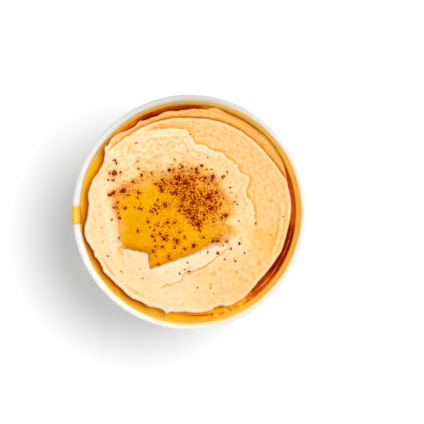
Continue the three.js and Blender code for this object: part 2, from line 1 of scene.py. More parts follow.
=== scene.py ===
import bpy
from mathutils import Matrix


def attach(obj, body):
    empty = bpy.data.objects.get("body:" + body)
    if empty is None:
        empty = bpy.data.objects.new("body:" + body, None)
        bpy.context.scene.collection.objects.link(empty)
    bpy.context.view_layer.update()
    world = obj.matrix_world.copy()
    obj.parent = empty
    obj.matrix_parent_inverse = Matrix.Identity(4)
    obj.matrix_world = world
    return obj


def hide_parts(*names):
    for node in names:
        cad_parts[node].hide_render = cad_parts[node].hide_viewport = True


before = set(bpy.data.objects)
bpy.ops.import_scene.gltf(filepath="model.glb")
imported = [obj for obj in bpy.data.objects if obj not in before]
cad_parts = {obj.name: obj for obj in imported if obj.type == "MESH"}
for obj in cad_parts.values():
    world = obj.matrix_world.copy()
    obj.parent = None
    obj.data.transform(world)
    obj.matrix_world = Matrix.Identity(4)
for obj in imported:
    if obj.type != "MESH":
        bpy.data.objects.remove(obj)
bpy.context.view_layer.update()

# A round paperboard tub of hummus, seen from above. The hummus is spooned into a crater with a
# pool of olive oil and paprika, oil lies in the moat round it, and a tongue of oil has crept
# over the rim at the side seam.
#
# Sizes are in millimetres and become metres where a mesh is made. Angles are in degrees,
# counterclockwise from +X seen from above. Forms are worked out as whole arrays: x and y are
# arrays of places, and every function returns an array of the same shape.
#
# A stretch is (from, to, fade): a range of angles, and how many degrees it fades over at either
# end. A rise is (low, high): 0 below the one and 1 above the other. A noise has a length, which
# is the size of its features, a seed, and how many layers it is made of. Sway is how far a noise
# moves a value about its base.

from types import SimpleNamespace as Sizes

import bpy
import numpy as np
from mathutils import Matrix, Vector

MM = 0.001

# ------------------------------------------------------------------ sizes of the tub

TUB_HEIGHT = 60
RIM_RADIUS = 49
BEAD_RADIUS = 1.3
BASE_RADIUS = 38.5
BOARD = 0.6
SKIRT_BOARD = 1.3
FLOOR_TOP = 5
BASE_SAG = 0.25
FOLD_GAP = 0.3
FOOT_ROUND = 0.4
TUCK = 0.3  # how far below the rolled rim its end is tucked in
TUB_AROUND = 320
INNER_ROWS = 60
BASE_AROUND = 160
BASE_RINGS = 14
SEAM = Sizes(angle=181.5, half=4.42, edge=0.25, proud=0.35, roll_proud=0.12, foot=1.5)
# Slow waver of the upper wall, which grows between two heights.
DENT = Sizes(height=0.05, length=30, seed=82, layers=3, rise=(10, 50))
REACH_INTO_WALL = 0.1  # what fills the tub reaches this far into its board
REACH_BELOW = 0.1  # and this far into what it lies on

# ------------------------------------------------------------------ sizes of the hummus

CROWN = 57.6
SWATH_LEVEL = 57.0
LEVEL = Sizes(angle=20, rise=(0.35, 0.85))  # the crown lies away from this angle
SHOULDER = Sizes(drop=1.2, ledge_drop=0.35, width=1.2, ledge_fade=10)
SWAY = [(0.18, 5.3, 9.1, 0), (0.15, -7.9, 4.7, 1.3)]  # height, length along x and y, start

# Outline about the tub's axis: a circle with lobes of (angle, height, half width).
EDGE = Sizes(radius=43.0, push=0.8, oval=0.9)
EDGE_LOBES = [
    (136, 2.1, 7),  # touches the wall
    (142.8, 1.5, 1.6),  # spike beside it
    (146, 1.1, 3),
    (150, -1.1, 6),  # bay
    (178, -0.5, 6),
    (191, 1.8, 6.5),  # nose below the seam
    (205, 0.9, 2.2),
    (211, -0.5, 7),
    (218, 0.8, 5),
    (229, -0.6, 4),
    (40, 1.45, 11),  # bulge of the ledge
    (75, 1.0, 4),
    (78.5, 0.5, 1),
    (14, -0.6, 6),
    (90, -0.5, 9),
    (107, -0.6, 8),
    (119, 0.45, 1.6),
    (257, 1.2, 1.1),  # a nib
    (270, -0.25, 9),
    (281, 0.9, 3.5),
    (293, 0.5, 4),
    (301, 1.2, 8),
    (320, -0.5, 9),
    (350, -0.4, 11),
]
EDGE_WAVES = Sizes(height=0.16, counts=(11, 17, 23), smoothed=0.7)
EDGE_TORN = Sizes(height=0.34, smooth_height=0.1, length=3.4, seed=3, layers=3)
EDGE_SMOOTH = (-66, 80, 16)
EDGE_RADIUS_MAX = 46.2
FLANK_INSET = 0.7
FLANK_RADIUS_MAX = 43.9

# The side below the edge: two rows that round it under, then the flank, which widens to the
# wall below the moat's floor.
UNDER_EDGE = Sizes(inset=0.12, drop=0.5)
CHIN = Sizes(proud=0.25, drop=1.2)
FLANK = Sizes(drop=2, top=53, foot=51.5, widening=0.3)
FILLING_WAIST = 30  # a ring of the filling half way down the wall

SMEAR = Sizes(x=-34.6, y=27.6, height=2.2, width=3.2)

# A step is half the width over which the surface drops, and a line is that for its colour.
LEDGE = Sizes(middle=81, half=66, fade=8, radius=40.1, rise=3.1, drop=1.7, slope=0.12, step=0.2,
              line=0.25)
LEDGE_DIP = (87, -0.7, 13)
LEDGE_TORN = Sizes(height=0.16, length=2.4, seed=21, layers=3)
LOWER_STEP = Sizes(stretch=(24, 80, 12), inset=1.5, drop=0.5, step=0.2)

CRATER = Sizes(x=-5.9, y=-5.4, radius=23.1)
SHORE_LOBES = [(154, 4.2, 16), (103, -2.4, 16), (3, -2.6, 6), (22, 0.6, 8)]
POOL_LEVEL = 53.2
POOL_DEPTH = 3.2
BOWL_POWER = 2.4
BANK = Sizes(left=6, top=15, right=9, back=90)
STEEP = (0.8, 2.5)  # rise, over the height of a steep bank

RIDGE = Sizes(near=33, middle=35.2, far=41, drop=1.0, step=0.3, line=0.3)
RIDGE_RISES = ((20, 32), (66, 100))  # where it swings out, and out again
RIDGE_WAVES = Sizes(height=0.45, counts=(13, 21, 29))
RIDGE_BLOCKS = Sizes(height=0.45, length=4.2, seed=31, layers=1, press=3)
RIDGE_CRUMBS = Sizes(height=0.5, length=1.9, seed=32, layers=3)
STROKE = (-6, 112, 14)
SWATH_HOLLOW = 0.5
LIP = Sizes(stretch=(-28, 9, 6), radius=39, height=0.6, width=1.0)

# Torn layers inside the ridge, each at a distance from it.
TERRACE = Sizes(stretch=(52, 168, 25), radius=30, torn=1.1, width=0.5)
TERRACES = [
    Sizes(at=2.4, drop=0.34, length=6, seed=51, layers=3),
    Sizes(at=5.6, drop=0.3, length=4, seed=52, layers=3),
    Sizes(at=9.4, drop=0.3, length=5, seed=53, layers=3),
]

# The flap: its tip, its course, its bank towards the pool and its length. It rises over its
# start and falls over its finish.
FLAP = Sizes(x=-16.9, y=-23.7, angle=18.8, bank=0.5, spread=4.2, spread_rise=(14, 34), crest=0.7,
             lean=0.6, length=36, start=4, finish=5)
FLAP_TORN = Sizes(height=0.12, length=1.6, seed=62, layers=1)
CREASE = Sizes(far=8.9, middle=7.0, near=2.7, jog=(10, 13.5), turn=(20, 35), depth=0.6,
               width=0.33, behind=0.4, step=0.4, fall=(1, 7))
CREASE_WANDER = [(0.5, 2.2, 41), (0.22, 0.8, 45)]  # height, length, seed
NOTCH = Sizes(x=-17.6, y=-17.2, tilt=11, lean=8, reach=9.5, fade=4, bank=0.5)
NOTCH_TORN = Sizes(height=0.22, length=1.3, seed=61, layers=1)
GROOVES = [(214, 41.6, 7, 0.7), (235, 40.6, 6, 0.6)]  # angle, radius, half width, depth
GROOVE_WIDTH = 0.9

# Pits left by air in the paste, (x, y, radius, depth), and how many small ones there are.
PITS = [
    (34, 4.6, 0.8, 0.5),
    (34, -9.6, 0.6, 0.4),
    (9.7, -25.9, 1.3, 0.7),
    (8.5, -30.5, 1.0, 0.5),
    (23.5, -28.8, 0.6, 0.4),
    (19.4, -25.5, 0.7, 0.4),
    (9.9, -34.3, 0.6, 0.4),
    (-21.2, -23.8, 0.6, 0.4),
    (29, -21.5, 1.1, 0.5),
    (12.6, -24.0, 0.9, 0.4),
    (-31.6, 29.2, 1.2, 0.6),
]
PORES = Sizes(seed=11, count=130, reach=41, radius=0.4, depth=0.22, smallest=0.6, range=0.9)

# Fine relief of the paste. Streaks are drawn out along a circle, long one way and wide across.
LUMPS = Sizes(height=0.10, length=3.1, seed=71, layers=3)
GRAIN = Sizes(height=0.05, length=0.9, seed=72, layers=2)
DIMPLES = Sizes(depth=0.26, long=2.0, wide=0.62, seed=73, above=0.1)
FINE_DIMPLES = Sizes(share=0.6, long=1.1, wide=0.5, seed=74)
SCORES = Sizes(height=0.17, long=9, wide=0.6, seed=75)
BROAD_SCORES = Sizes(share=0.7, long=4, wide=1.1, seed=76)
STREAK_RADIUS = 36
CRUMBS = Sizes(height=0.26, length=1.5, seed=77, layers=2, inside=2.2, reach=3.0, front=0.5,
               back=0.6, torn=0.6)
CRUMBS_BACK = (62, 130, 15)
STRATA = Sizes(height=0.16, slant=14, press=2.2)
STRATA_BEND = Sizes(height=1.3, length=5, seed=78, layers=2)
STRATA_FLAKES = [(1, 6, 2.1, 79), (0.5, 2.4, 1.1, 80)]  # strength, length, width, seed
TORN_SIDE = Sizes(stretch=(66, 165, 22), rise=(20, 27))

HUMMUS_GRID = 280  # squares along a side of the grid that is bent into its surface
HOLLOW_REACH = 4  # how many points of the grid a hollow is measured over

# Colour of the paste: how much painted light makes it lighter on some banks that turn away from
# the lamp, and how warm on each form, with painted shade in hollows. Shares of the warmth that are
# less than 0 make it cooler. At and width place a bell beside a line.
LIGHTER = Sizes(bank_right=0.2, torn=0.04, shore=0.12, shore_reach=5, crest=0.75,
                crest_rise=(-9, -3))
LIGHTER_SHORE = (-35, 170, 30)
BANK_RIGHT = Sizes(stretch=(-25, 80, 22), rise=(-1, 2))
WARMTH = Sizes(base=0.23, stroke=0.2, right=0.2, bank_back=0.24, bank_right=0.14, torn=0.06,
               flap=-0.08, crest=-0.12, strata=0.1, smear=-0.3, crease=0.24, ledge_foot=0.3,
               ridge_foot=0.1, soaked=0.36, steep=0.3, hollow=1.2, hollow_most=0.2, flank=0.6)
WARM_RIGHT = Sizes(stretch=(-84, 52, 30), rise=(24, 33), inside=1, flap=0.8, behind=(4, 9),
                   along=(8, 22))
WARM_CREASE = Sizes(width=0.27, base=0.7, sway=0.7, length=3, seed=42)
WARM_LEDGE = Sizes(base=0.46, right=0.06, left=-0.16, outside=-0.15, outside_rise=(0.6, 2.0),
                   streaks=0.14, long=7, wide=0.5, seed=44, hollow=0.6)
WARM_LEDGE_RIGHT, WARM_LEDGE_LEFT = (15, 75, 22), (112, 150, 12)
WARM_LEDGE_FOOT = Sizes(at=0.3, width=0.3, base=0.8, sway=0.5, radius=40, length=5, seed=43,
                        layers=1, less=0.8, less_stretch=(105, 150, 12))
WARM_RIDGE_FOOT = Sizes(at=0.5, width=0.5)
WARM_CREST = Sizes(at=2, width=2, stretch=(50, 125, 15))
WARM_SHORE = Sizes(stretch=(-12, 212, 12), share=0.8, reach=2.6, rise=(0.0, 1.0))
WARM_BACK = Sizes(stretch=(10, 175, 35), rise=(0.4, 3.4), radius_rise=(15, 20))
COOL_FLAP = Sizes(behind=(-0.5, 0.5), fade=(4, 8))
COOL_SMEAR = 1.3

# ------------------------------------------------------------------ sizes of the oil

MOAT_LEVEL = 52
MOAT_FLOOR = 46.2
TONGUE = Sizes(width=7.2, thickness=0.5, foot=52, end=-38, rounded=0.12, dome=0.8, under=0.25,
               thin=0.75, tip=0.03, sway=0.1, sway_count=9, seed=95)
TONGUE_ROWS = Sizes(wall=26, roll=60, arch=25, under=8)
# Tone of the tongue's film, painted lighter where it faces up: a painted highlight along its crest.
TONGUE_TONE = Sizes(base=0.6, crest=0.5, crest_angle=80, crest_half=35, ends=0.9)
HIDDEN_TONE = 0.8

# The pool: points round it and rings, of which its underside has every sixth, where its shore is
# looked for, how far it is carried under its banks, and how far its underside is below the bed.
POOL = Sizes(around=420, rings=90, thinned=6, reach=(8, 34), step=0.15, under_bank=1.0, below=0.4)
POOL_MENISCUS = Sizes(height=0.04, depth=0.3)
# Painted shade: the pool's tone deepens towards the left and the bottom, and more on the far left.
POOL_SHADE = Sizes(x=-0.22, y=-0.08, reach=25)
POOL_TONE = Sizes(base=0.1, depth=0.32, banked=0.45, left=0.16, washed=0.04)
POOL_BANKED = Sizes(stretch=(168, 352, 24), reach=4.2)
POOL_LEFT = Sizes(stretch=(148, 238, 26), rise=(8, 16))
POOL_WASHED = Sizes(stretch=(50, 206, 20), rise=(0.2, 5.2))  # shallow, pale oil at the back
POOL_WASHED_TORN = Sizes(height=1.3, length=2.2, seed=92, layers=2)

# Oil stain on the wall and the rim: it fades out between two radii, and reaches higher or lower
# in places.
FILM = Sizes(start=45.5, end=48.1, sway=0.25, length=7, seed=81, layers=3, high=0.65, low=0.3,
             over_bead=0.4, roll_rows=20)
FILM_HIGH, FILM_LOW = (72, 232, 25), (245, 325, 20)
# Painted shade where the board is a little greyer, most along its outer brink, and painted light
# where it is a little lighter on the far side.
SHADED = Sizes(middle=88, half=46, share=0.22, edge=0.11, brink=0.5, stretch=(-80, 178, 25))
SUNLIT = Sizes(share=0.06, stretch=(185, 285, 25))
# Painted light: a glow of the oiled wall between two heights, standing for light through it.
PAINTED_GLOW = Sizes(colour=(0.26, 0.09, 0.01), low=55, high=59, shaded=0.9, stretch=(20, 300, 22))

# Depth of colour of the moat's oil over stretches round the tub, (from, to, tone beside the
# paste, half way, at the wall): the oil's own depth of colour and painted shade, darker beside
# the paste and on the stretches in the shade of the rim. Also a red line in it, and a raised ripple
# that catches the light, whose colour is painted lighter as a painted highlight.
MOAT_STRETCHES = [
    (-56, -36, 0.95, 0.9, 0.7),
    (-36, -8, 1.15, 1.1, 0.84),
    (-8, 26, 0.92, 0.78, 0.66),
    (26, 60, 0.6, 0.46, 0.42),
    (60, 82, 0.55, 0.4, 0.4),
    (82, 101, 1.1, 0.9, 0.45),
    (101, 107, 0.95, 0.8, 0.4),
    (107, 118, 1.15, 0.95, 0.4),
    (118, 130, 0.9, 0.72, 0.3),
    (130, 165, 0.6, 0.26, 0.22),
    (165, 186, 0.55, 0.34, 0.16),
    (186, 203, 0.85, 0.5, 0.3),
    (203, 232, 0.85, 0.4, 0.12),
    (232, 246, 0.9, 0.45, 0.16),
    (246, 266, 0.34, 0.26, 0.22),
    (266, 284, 0.3, 0.42, 0.24),
    (284, 306, 0.42, 0.34, 0.3),
]
STRETCH_FADE = 8
BESIDE_PASTE, BESIDE_WALL = (0.02, 0.4), (0.6, 0.98)  # rises, in shares of the moat's width
MOAT = Sizes(step=0.5, rings=36, thinned=7, overlap=0.2, edge=0.2, narrowest=0.3)
MOAT_WAVES = Sizes(height=0.012, length=3.5, seed=91, layers=2)
RED_LINE = Sizes(middle=276, half=14, radius=43.8, climb=0.045, width=0.32, strength=0.5)
CREST = Sizes(stretch=(-54, -4, 8), middle=-30, radius=43.78, climb=0.01, height=0.035, width=0.2,
              base=0.9, sway=0.3, length=2.2, seed=93, layers=2, lighter=0.35)
GLINTS = Sizes(stretch=(276, 312, 10), strength=0.4, length=1.1, seed=94, layers=2)
MENISCUS = Sizes(height=0.16, reach=0.3)
FROTH = Sizes(seed=5, size=(0.3, 0.6), flat=0.6, above=0.1, tone=0.2,
              places=[(23.5, -35.0, 1.6, 12), (12.0, -40.0, 0.7, 5)])  # x, y, spread, count

# ------------------------------------------------------------------ sizes of the paprika

# Clumps, (x, y, size).
CLUMPS = [
    (-4.7, 14.2, 2.6), (-1.9, 12.4, 2.5), (8.6, 6.7, 3.0), (9.2, 1.8, 2.1), (0.2, -0.4, 2.4),
    (1.5, -2.2, 2.3), (3.8, -4.8, 2.4), (1.5, 3.9, 2.4), (-9.9, 3.1, 2.0), (-9.1, -4.5, 1.6),
    (-12.5, -9.1, 1.5), (-10.7, -11.0, 1.7), (-11.2, -14.6, 1.5), (-15.0, -16.3, 1.4),
    (-8.7, -18.5, 1.5), (1.7, -14.6, 1.4), (-2.0, -15.4, 1.3), (15.4, -12.3, 1.4),
    (17.1, -15.3, 1.3), (-31.7, 16.1, 2.7), (-27.7, 8.9, 2.7), (5.1, 19.3, 1.5),
    (3.0, 17.9, 1.7), (9.9, 14.8, 2.1), (-8.3, 17.7, 1.7), (-15.8, 16.4, 1.3),
    (-21.2, 18.2, 1.2), (14.1, 14.8, 1.4), (-27.1, 1.6, 1.3), (-30.8, 20.4, 1.3),
    (-30.5, 2.2, 1.2),
]

# The rest: bells of density (x, y, half width, half height, share kept), and an even share.
SPRINKLE = Sizes(
    seed=17,
    candidates=9000,
    reach=41.5,
    smallest=0.3,
    range=1.3,
    thin_size=0.66,  # share of their size where they lie thinly
    thin_rise=(0.01, 0.08),
    floor=0.004,
    bells=[(4, 6, 11, 9, 0.3), (-3, 12, 5, 6, 0.56), (10, 6, 4, 5, 0.26), (4, -3, 4, 4, 0.36),
           (-9, 2, 4, 4, 0.12), (-8, 0, 28, 18, 0.1), (-29, 12, 7, 9, 0.11),
           (-8, -17, 8, 7, 0.14), (17, -14, 6, 6, 0.14), (10, -26, 10, 9, 0.03),
           (27, 4, 6, 14, 0.03)],
)

# A clump is flakes of their own sizes, heaped towards its middle.
FLAKE = Sizes(alone=0.46, most=44, sizes=(0.4, 0.85), half=(0.5, 0.42, 0.24), push=(0.68, 1.12),
              tilt=0.3, lift=0.08)
HEAP = Sizes(spread=0.42, even=0.65, height=0.16, widest=2.4, bell=0.3)
SHADE = Sizes(alone=0.75, heaped=0.3, range=0.2)
STAIN = Sizes(widest=2.2, near=0.35, far=0.75, on_paste=0.75, on_oil=0.85)

# Haze of fine paprika, (x, y, spread, strength).
HAZE = [(2, 6, 12, 0.26), (6, 4, 7, 0.1), (-3, 11, 5.5, 0.3), (1, 16, 5, 0.12), (-8, 2, 18, 0.09),
        (-6, -12, 6, 0.08), (-28, 11, 7, 0.14), (13, -11.5, 5, 0.34)]

# ------------------------------------------------------------------ light and camera

LIGHT = Sizes(world=0.71, sun=1.92, width=30, elevation=70, azimuth=38, dark=(22, 32))
STRIP = Sizes(distance=1200, elevation=70, azimuth=-30, length=800, width=100, watts=1.6)
CAMERA = Sizes(eye=(-65.2, 0, 907), aim=(9.09, 0.04, 59.5), lens=173, sensor=36, clip=(10, 10000))
FLOOR = Sizes(half=1500, level=-0.05)


# ------------------------------------------------------------------ small helpers


def turn(angle, start):
    """Signed difference of two angles, -180 to 180."""
    return np.mod(angle - start + 180, 360) - 180


def heading(x, y, centre=Sizes(x=0, y=0)):
    """Direction of a place from a centre, in degrees."""
    return np.degrees(np.arctan2(y - centre.y, x - centre.x))


def bell(reach):
    """exp(-t squared): 1 in the middle and nearly 0 at 2."""
    return np.exp(-(reach**2))


def lerp(start, end, share):
    """The start, and a share of the way from it to the end."""
    return start + (end - start) * share


def smoothstep(value, low, high):
    """0 below low and 1 above high, 3t squared less 2t cubed between them."""
    t = np.clip((value - low) / (high - low), 0, 1)
    return t * t * (3 - 2 * t)


def step_at(value, at, half):
    """A smooth step from 0 to 1 about a value, with half its width to either side."""
    return smoothstep(value, at - half, at + half)


def lobes(angle, items):
    """Sum of bell-shaped lobes round an outline."""
    return sum(height * bell(turn(angle, middle) / width) for middle, height, width in items)


def waves(angle, size):
    """Sum of a few sines round an outline, each with its own start."""
    swings = (np.sin(np.radians(count * angle) + 1.9 * k) for k, count in enumerate(size.counts))
    return size.height * sum(swings)


def window(angle, start, end, fade):
    """1 between two angles, falling to 0 over fade degrees at either end."""
    half = (end - start) / 2
    return 1 - smoothstep(np.abs(turn(angle, start + half)), half - fade, half)


def lattice(i, j, k, seed):
    """Repeatable random numbers, -1 to 1, at whole-number places: the place is multiplied by
    large primes and added up, and the bits of the sum are folded over each other."""
    bits = (i * 374761393 + j * 668265263 + k * 362437 + seed * 1013904223) & 0xFFFFFFFF
    bits = ((bits ^ (bits >> 13)) * 1274126177) & 0xFFFFFFFF
    return (bits ^ (bits >> 16)) / 0xFFFFFFFF * 2 - 1


def noise(x, y, z=0.0, seed=0):
    """A smooth random field, about -1 to 1: the lattice's numbers at the eight corners round a
    place, blended along each axis by 3t squared less 2t cubed."""
    x, y, z = np.broadcast_arrays(x, y, z)
    i, j, k = (np.floor(v).astype(np.int64) for v in (x, y, z))
    u, v, w = (smoothstep(value - whole, 0, 1) for value, whole in ((x, i), (y, j), (z, k)))
    planes = []
    for up in (0, 1):
        rows = [
            lerp(lattice(i, j + back, k + up, seed), lattice(i + 1, j + back, k + up, seed), u)
            for back in (0, 1)
        ]
        planes.append(lerp(rows[0], rows[1], v))
    return lerp(planes[0], planes[1], w)


def layered(x, y, size):
    """Sum of noise fields, each twice as fine and half as strong as the one before."""
    return sum(
        noise(x * 2**n, y * 2**n, seed=size.seed + n) / 2**n for n in range(size.layers)
    )


def flat_noise(x, y, size):
    """Layered noise in the plane, with features of a given length."""
    return layered(x / size.length, y / size.length, size)


def round_noise(angle, radius, size):
    """Layered noise along a circle: noise in the plane, read on the circle itself, so that it
    meets itself after a full turn."""
    reach = radius / size.length
    return layered(reach * np.cos(np.radians(angle)), reach * np.sin(np.radians(angle)), size)


# ------------------------------------------------------------------ form of the tub

BEAD = Sizes(r=RIM_RADIUS - BEAD_RADIUS, z=TUB_HEIGHT - BEAD_RADIUS)
WALL_TOP_RADIUS = BEAD.r - BEAD_RADIUS
TAPER = (WALL_TOP_RADIUS + BOARD - BASE_RADIUS) / BEAD.z


def inner_radius(z):
    """Inner radius of the tub's wall at a height: a straight taper."""
    return WALL_TOP_RADIUS - TAPER * (BEAD.z - z)


def outer_radius(z):
    """Outer radius of the tub's wall at a height, one board further out."""
    return inner_radius(z) + BOARD


def line(start, end, count):
    """Points along a straight line in (radius, height), without its end."""
    share = np.arange(count)[:, None] / count
    return np.array(start) + (np.array(end) - np.array(start)) * share


def arc(centre, radius, start, end, count):
    """Points on a circle in (radius, height), from one angle to another, without the last."""
    angle = np.radians(start + (end - start) * np.arange(count) / count)
    return np.stack([centre[0] + radius * np.cos(angle), centre[1] + radius * np.sin(angle)], 1)


# ------------------------------------------------------------------ form of the hummus


def edge_radius(angle):
    """Outline of the hummus about the tub's axis: a circle pushed back and drawn out along one
    diagonal, with bell-shaped lobes, small waves and a torn line of layered noise."""
    slow = EDGE.radius + EDGE.push * np.sin(np.radians(angle))
    slow = slow + EDGE.oval * np.sin(np.radians(2 * angle))
    smooth_side = window(angle, *EDGE_SMOOTH)
    height = lerp(EDGE_TORN.height, EDGE_TORN.smooth_height, smooth_side)
    torn = height * round_noise(angle, EDGE.radius, EDGE_TORN)
    small = waves(angle, EDGE_WAVES) * (1 - EDGE_WAVES.smoothed * smooth_side)
    whole = slow + lobes(angle, EDGE_LOBES) + small + torn
    return np.minimum(whole, EDGE_RADIUS_MAX)


def flank_radius(angle):
    """Radius of the hummus's side below its edge: the edge set in, and clear of the wall."""
    return np.minimum(edge_radius(angle) - FLANK_INSET, FLANK_RADIUS_MAX)


def ledge_radius(angle):
    """Inner edge of the ledge: a circle that swings out to the fourth power at either end."""
    reach = turn(angle, LEDGE.middle) / LEDGE.half
    torn = LEDGE_TORN.height * round_noise(angle, LEDGE.radius, LEDGE_TORN)
    return LEDGE.radius + LEDGE.rise * reach**4 + lobes(angle, [LEDGE_DIP]) + torn


def ridge_radius(angle):
    """Ridge about the crater's centre: it swings out in two smooth steps, and its line is torn
    into blocks by noise that is pressed towards -1 and 1 by tanh."""
    along = turn(angle, 60) + 60  # the angle, brought to between -120 and 240
    first, second = RIDGE_RISES
    swing = smoothstep(along, *first) * (RIDGE.middle - RIDGE.near)
    swing = swing + smoothstep(along, *second) * (RIDGE.far - RIDGE.middle)
    blocks = np.tanh(RIDGE_BLOCKS.press * round_noise(angle, RIDGE.near, RIDGE_BLOCKS))
    blocks = RIDGE_BLOCKS.height * blocks
    crumbs = RIDGE_CRUMBS.height * round_noise(angle, RIDGE.near, RIDGE_CRUMBS)
    return RIDGE.near + swing + waves(angle, RIDGE_WAVES) + blocks + crumbs


def flap_coordinates(x, y):
    """How far a place is along the flap, and how far behind its bank: the plane turned by the
    flap's angle about the crater's tip."""
    angle = np.radians(FLAP.angle)
    dx, dy = x - FLAP.x, y - FLAP.y
    along = dx * np.cos(angle) + dy * np.sin(angle)
    behind = dx * np.sin(angle) - dy * np.cos(angle)
    return along, behind


def crease_distance(along):
    """Distance of the crease behind the flap's bank, drawn in by two smooth steps."""
    jog = smoothstep(along, *CREASE.jog) * (CREASE.far - CREASE.middle)
    turned = smoothstep(along, *CREASE.turn) * (CREASE.middle - CREASE.near)
    wander = sum(
        height * noise(along / length, 0.0, seed=seed) for height, length, seed in CREASE_WANDER
    )
    return CREASE.far - jog - turned + wander


def flap_present(along):
    """1 along the flap, with smooth steps down to 0 at its two ends."""
    ended = smoothstep(along, FLAP.length - FLAP.finish, FLAP.length)
    return smoothstep(along, 0, FLAP.start) * (1 - ended)


def flap_relief(x, y):
    """The flap's raised crest, half a sine wave that leans towards its bank, the bell-shaped
    crease cut behind it, and the smooth step down beyond that."""
    along, behind = flap_coordinates(x, y)
    crease = crease_distance(along)
    across = np.clip(behind / crease, 0, 1)
    crest = FLAP.crest * np.sin(np.pi * across**FLAP.lean)
    cut = CREASE.depth * bell((behind - crease) / CREASE.width)
    step = CREASE.behind * step_at(behind, crease, CREASE.step)
    fall_start, fall_end = CREASE.fall
    fall = step * (1 - smoothstep(behind, crease + fall_start, crease + fall_end))
    return flap_present(along) * (crest - cut - fall)


def ledge_present(angle, fade=LEDGE.fade):
    """1 along the ledge, fading to 0 at its two ends."""
    return window(angle, LEDGE.middle - LEDGE.half, LEDGE.middle + LEDGE.half, fade)


def ledge_relief(angle, radius, edge):
    """The ledge's drop at its inner edge, its lean outwards and its lower step."""
    inner = ledge_radius(angle)
    fall = LEDGE.drop * step_at(radius, inner, LEDGE.step)
    lean = LEDGE.slope * np.maximum(0, radius - inner)
    lower = LOWER_STEP.drop * window(angle, *LOWER_STEP.stretch)
    step_down = lower * step_at(radius, edge - LOWER_STEP.inset, LOWER_STEP.step)
    return -ledge_present(angle) * (fall + lean + step_down)


def stroke_present(angle):
    """1 along the spoon's stroke, fading to 0 at its two ends."""
    return window(angle, *STROKE)


def stroke_relief(angle, radius, reach):
    """The drop from the ridge into the spoon's stroke, and the hollow of the stroke: half a
    sine wave across it."""
    ridge = ridge_radius(angle)
    outside = step_at(radius, ridge, RIDGE.step)
    across = np.clip((radius - ridge) / np.maximum(reach - ridge, 1), 0, 1)
    hollow = SWATH_HOLLOW * np.sin(np.pi * across)
    return stroke_present(angle) * (RIDGE.drop * (1 - outside) - hollow)


def groove_depth(angle, radius):
    """Grooves along the edge, each a bell in angle times a bell in radius."""
    return sum(
        depth * bell(turn(angle, middle) / spread) * bell((radius - at) / GROOVE_WIDTH)
        for middle, at, spread, depth in GROOVES
    )


def shoulder_drop(angle, radius, edge):
    """Rounding of the edge: a quarter of a circle, less deep on the ledge."""
    on_ledge = ledge_present(angle, SHOULDER.ledge_fade)
    drop = lerp(SHOULDER.drop, SHOULDER.ledge_drop, on_ledge)
    inset = np.clip((radius - edge + SHOULDER.width) / SHOULDER.width, 0, 1)
    return drop * (1 - np.sqrt(1 - inset**2))


def sway(x, y):
    """Slow uneven sway of the whole surface, as two crossed sines."""
    return sum(
        height * np.sin(x / along_x + y / along_y + start)
        for height, along_x, along_y, start in SWAY
    )


def pit_depth(x, y):
    """Bell-shaped pits: the named ones, and pores strewn by seeded random draws."""
    random = np.random.default_rng(PORES.seed)
    reach = PORES.reach * np.sqrt(random.random(PORES.count))
    angle = 2 * np.pi * random.random(PORES.count)
    size = PORES.smallest + PORES.range * random.random(PORES.count)
    strewn = [
        (r * np.cos(a), r * np.sin(a), PORES.radius * s, PORES.depth * s)
        for r, a, s in zip(reach, angle, size)
    ]
    return sum(
        depth * bell(np.hypot(x - at_x, y - at_y) / radius)
        for at_x, at_y, radius, depth in PITS + strewn
    )


def terraces(angle, inside):
    """Torn layers of paste inside the ridge: steps down at a few distances from it, each with
    its own torn line, where the ridge turns back."""
    down = 0
    for terrace in TERRACES:
        torn = TERRACE.torn * round_noise(angle, TERRACE.radius, terrace)
        below = smoothstep(inside + torn, terrace.at, terrace.at + TERRACE.width)
        down = down + terrace.drop * below
    return -window(angle, *TERRACE.stretch) * down


def place_of(x, y):
    """All that the relief and the colours ask about a place, worked out once."""
    angle, radius = heading(x, y), np.hypot(x, y)
    edge = edge_radius(angle)
    crater_angle = heading(x, y, CRATER)
    crater_radius = np.hypot(x - CRATER.x, y - CRATER.y)
    ridge, ledge = ridge_radius(crater_angle), ledge_radius(angle)
    reach = crater_radius + ledge - radius
    on_stroke = stroke_present(crater_angle) * step_at(crater_radius, ridge, RIDGE.line)
    on_ledge = ledge_present(angle) * step_at(radius, ledge, LEDGE.line)
    along, behind = flap_coordinates(x, y)
    return Sizes(
        x=x, y=y, angle=angle, radius=radius, edge=edge, crater_angle=crater_angle,
        crater_radius=crater_radius, reach=reach, ridge=ridge, on_stroke=on_stroke * (1 - on_ledge),
        on_ledge=on_ledge, along=along, behind=behind,
    )


def top_height(at):
    """Height of the surface as if no crater had been pressed into it: its level, which is lower
    on the right, and the relief of each form on it."""
    towards_left = 0.5 - 0.5 * np.cos(np.radians(turn(at.angle, LEVEL.angle)))
    level = lerp(SWATH_LEVEL, CROWN, smoothstep(towards_left, *LEVEL.rise))
    lip = LIP.height * window(at.angle, *LIP.stretch)
    lip = lip * bell((at.radius - LIP.radius) / LIP.width)
    smear = SMEAR.height * bell(np.hypot(at.x - SMEAR.x, at.y - SMEAR.y) / SMEAR.width)
    forms = (
        stroke_relief(at.crater_angle, at.crater_radius, at.reach)
        + ledge_relief(at.angle, at.radius, at.edge)
        + flap_relief(at.x, at.y)
        + sway(at.x, at.y)
        + terraces(at.crater_angle, at.ridge - at.crater_radius)
    )
    cuts = groove_depth(at.angle, at.radius) + shoulder_drop(at.angle, at.radius, at.edge)
    return level + forms + lip + smear - cuts


def shore_radius(angle):
    """Radius of the pool's shore about the crater's centre: a circle with bell-shaped lobes."""
    return CRATER.radius + lobes(angle, SHORE_LOBES)


def bank_width(angle):
    """Width of the crater's bank: broad at the back by the square of a cosine."""
    back = np.maximum(0, np.cos(np.radians(turn(angle, BANK.back)))) ** 2
    side = np.where(np.cos(np.radians(angle)) > 0, BANK.right, BANK.left)
    return lerp(side, BANK.top, back)


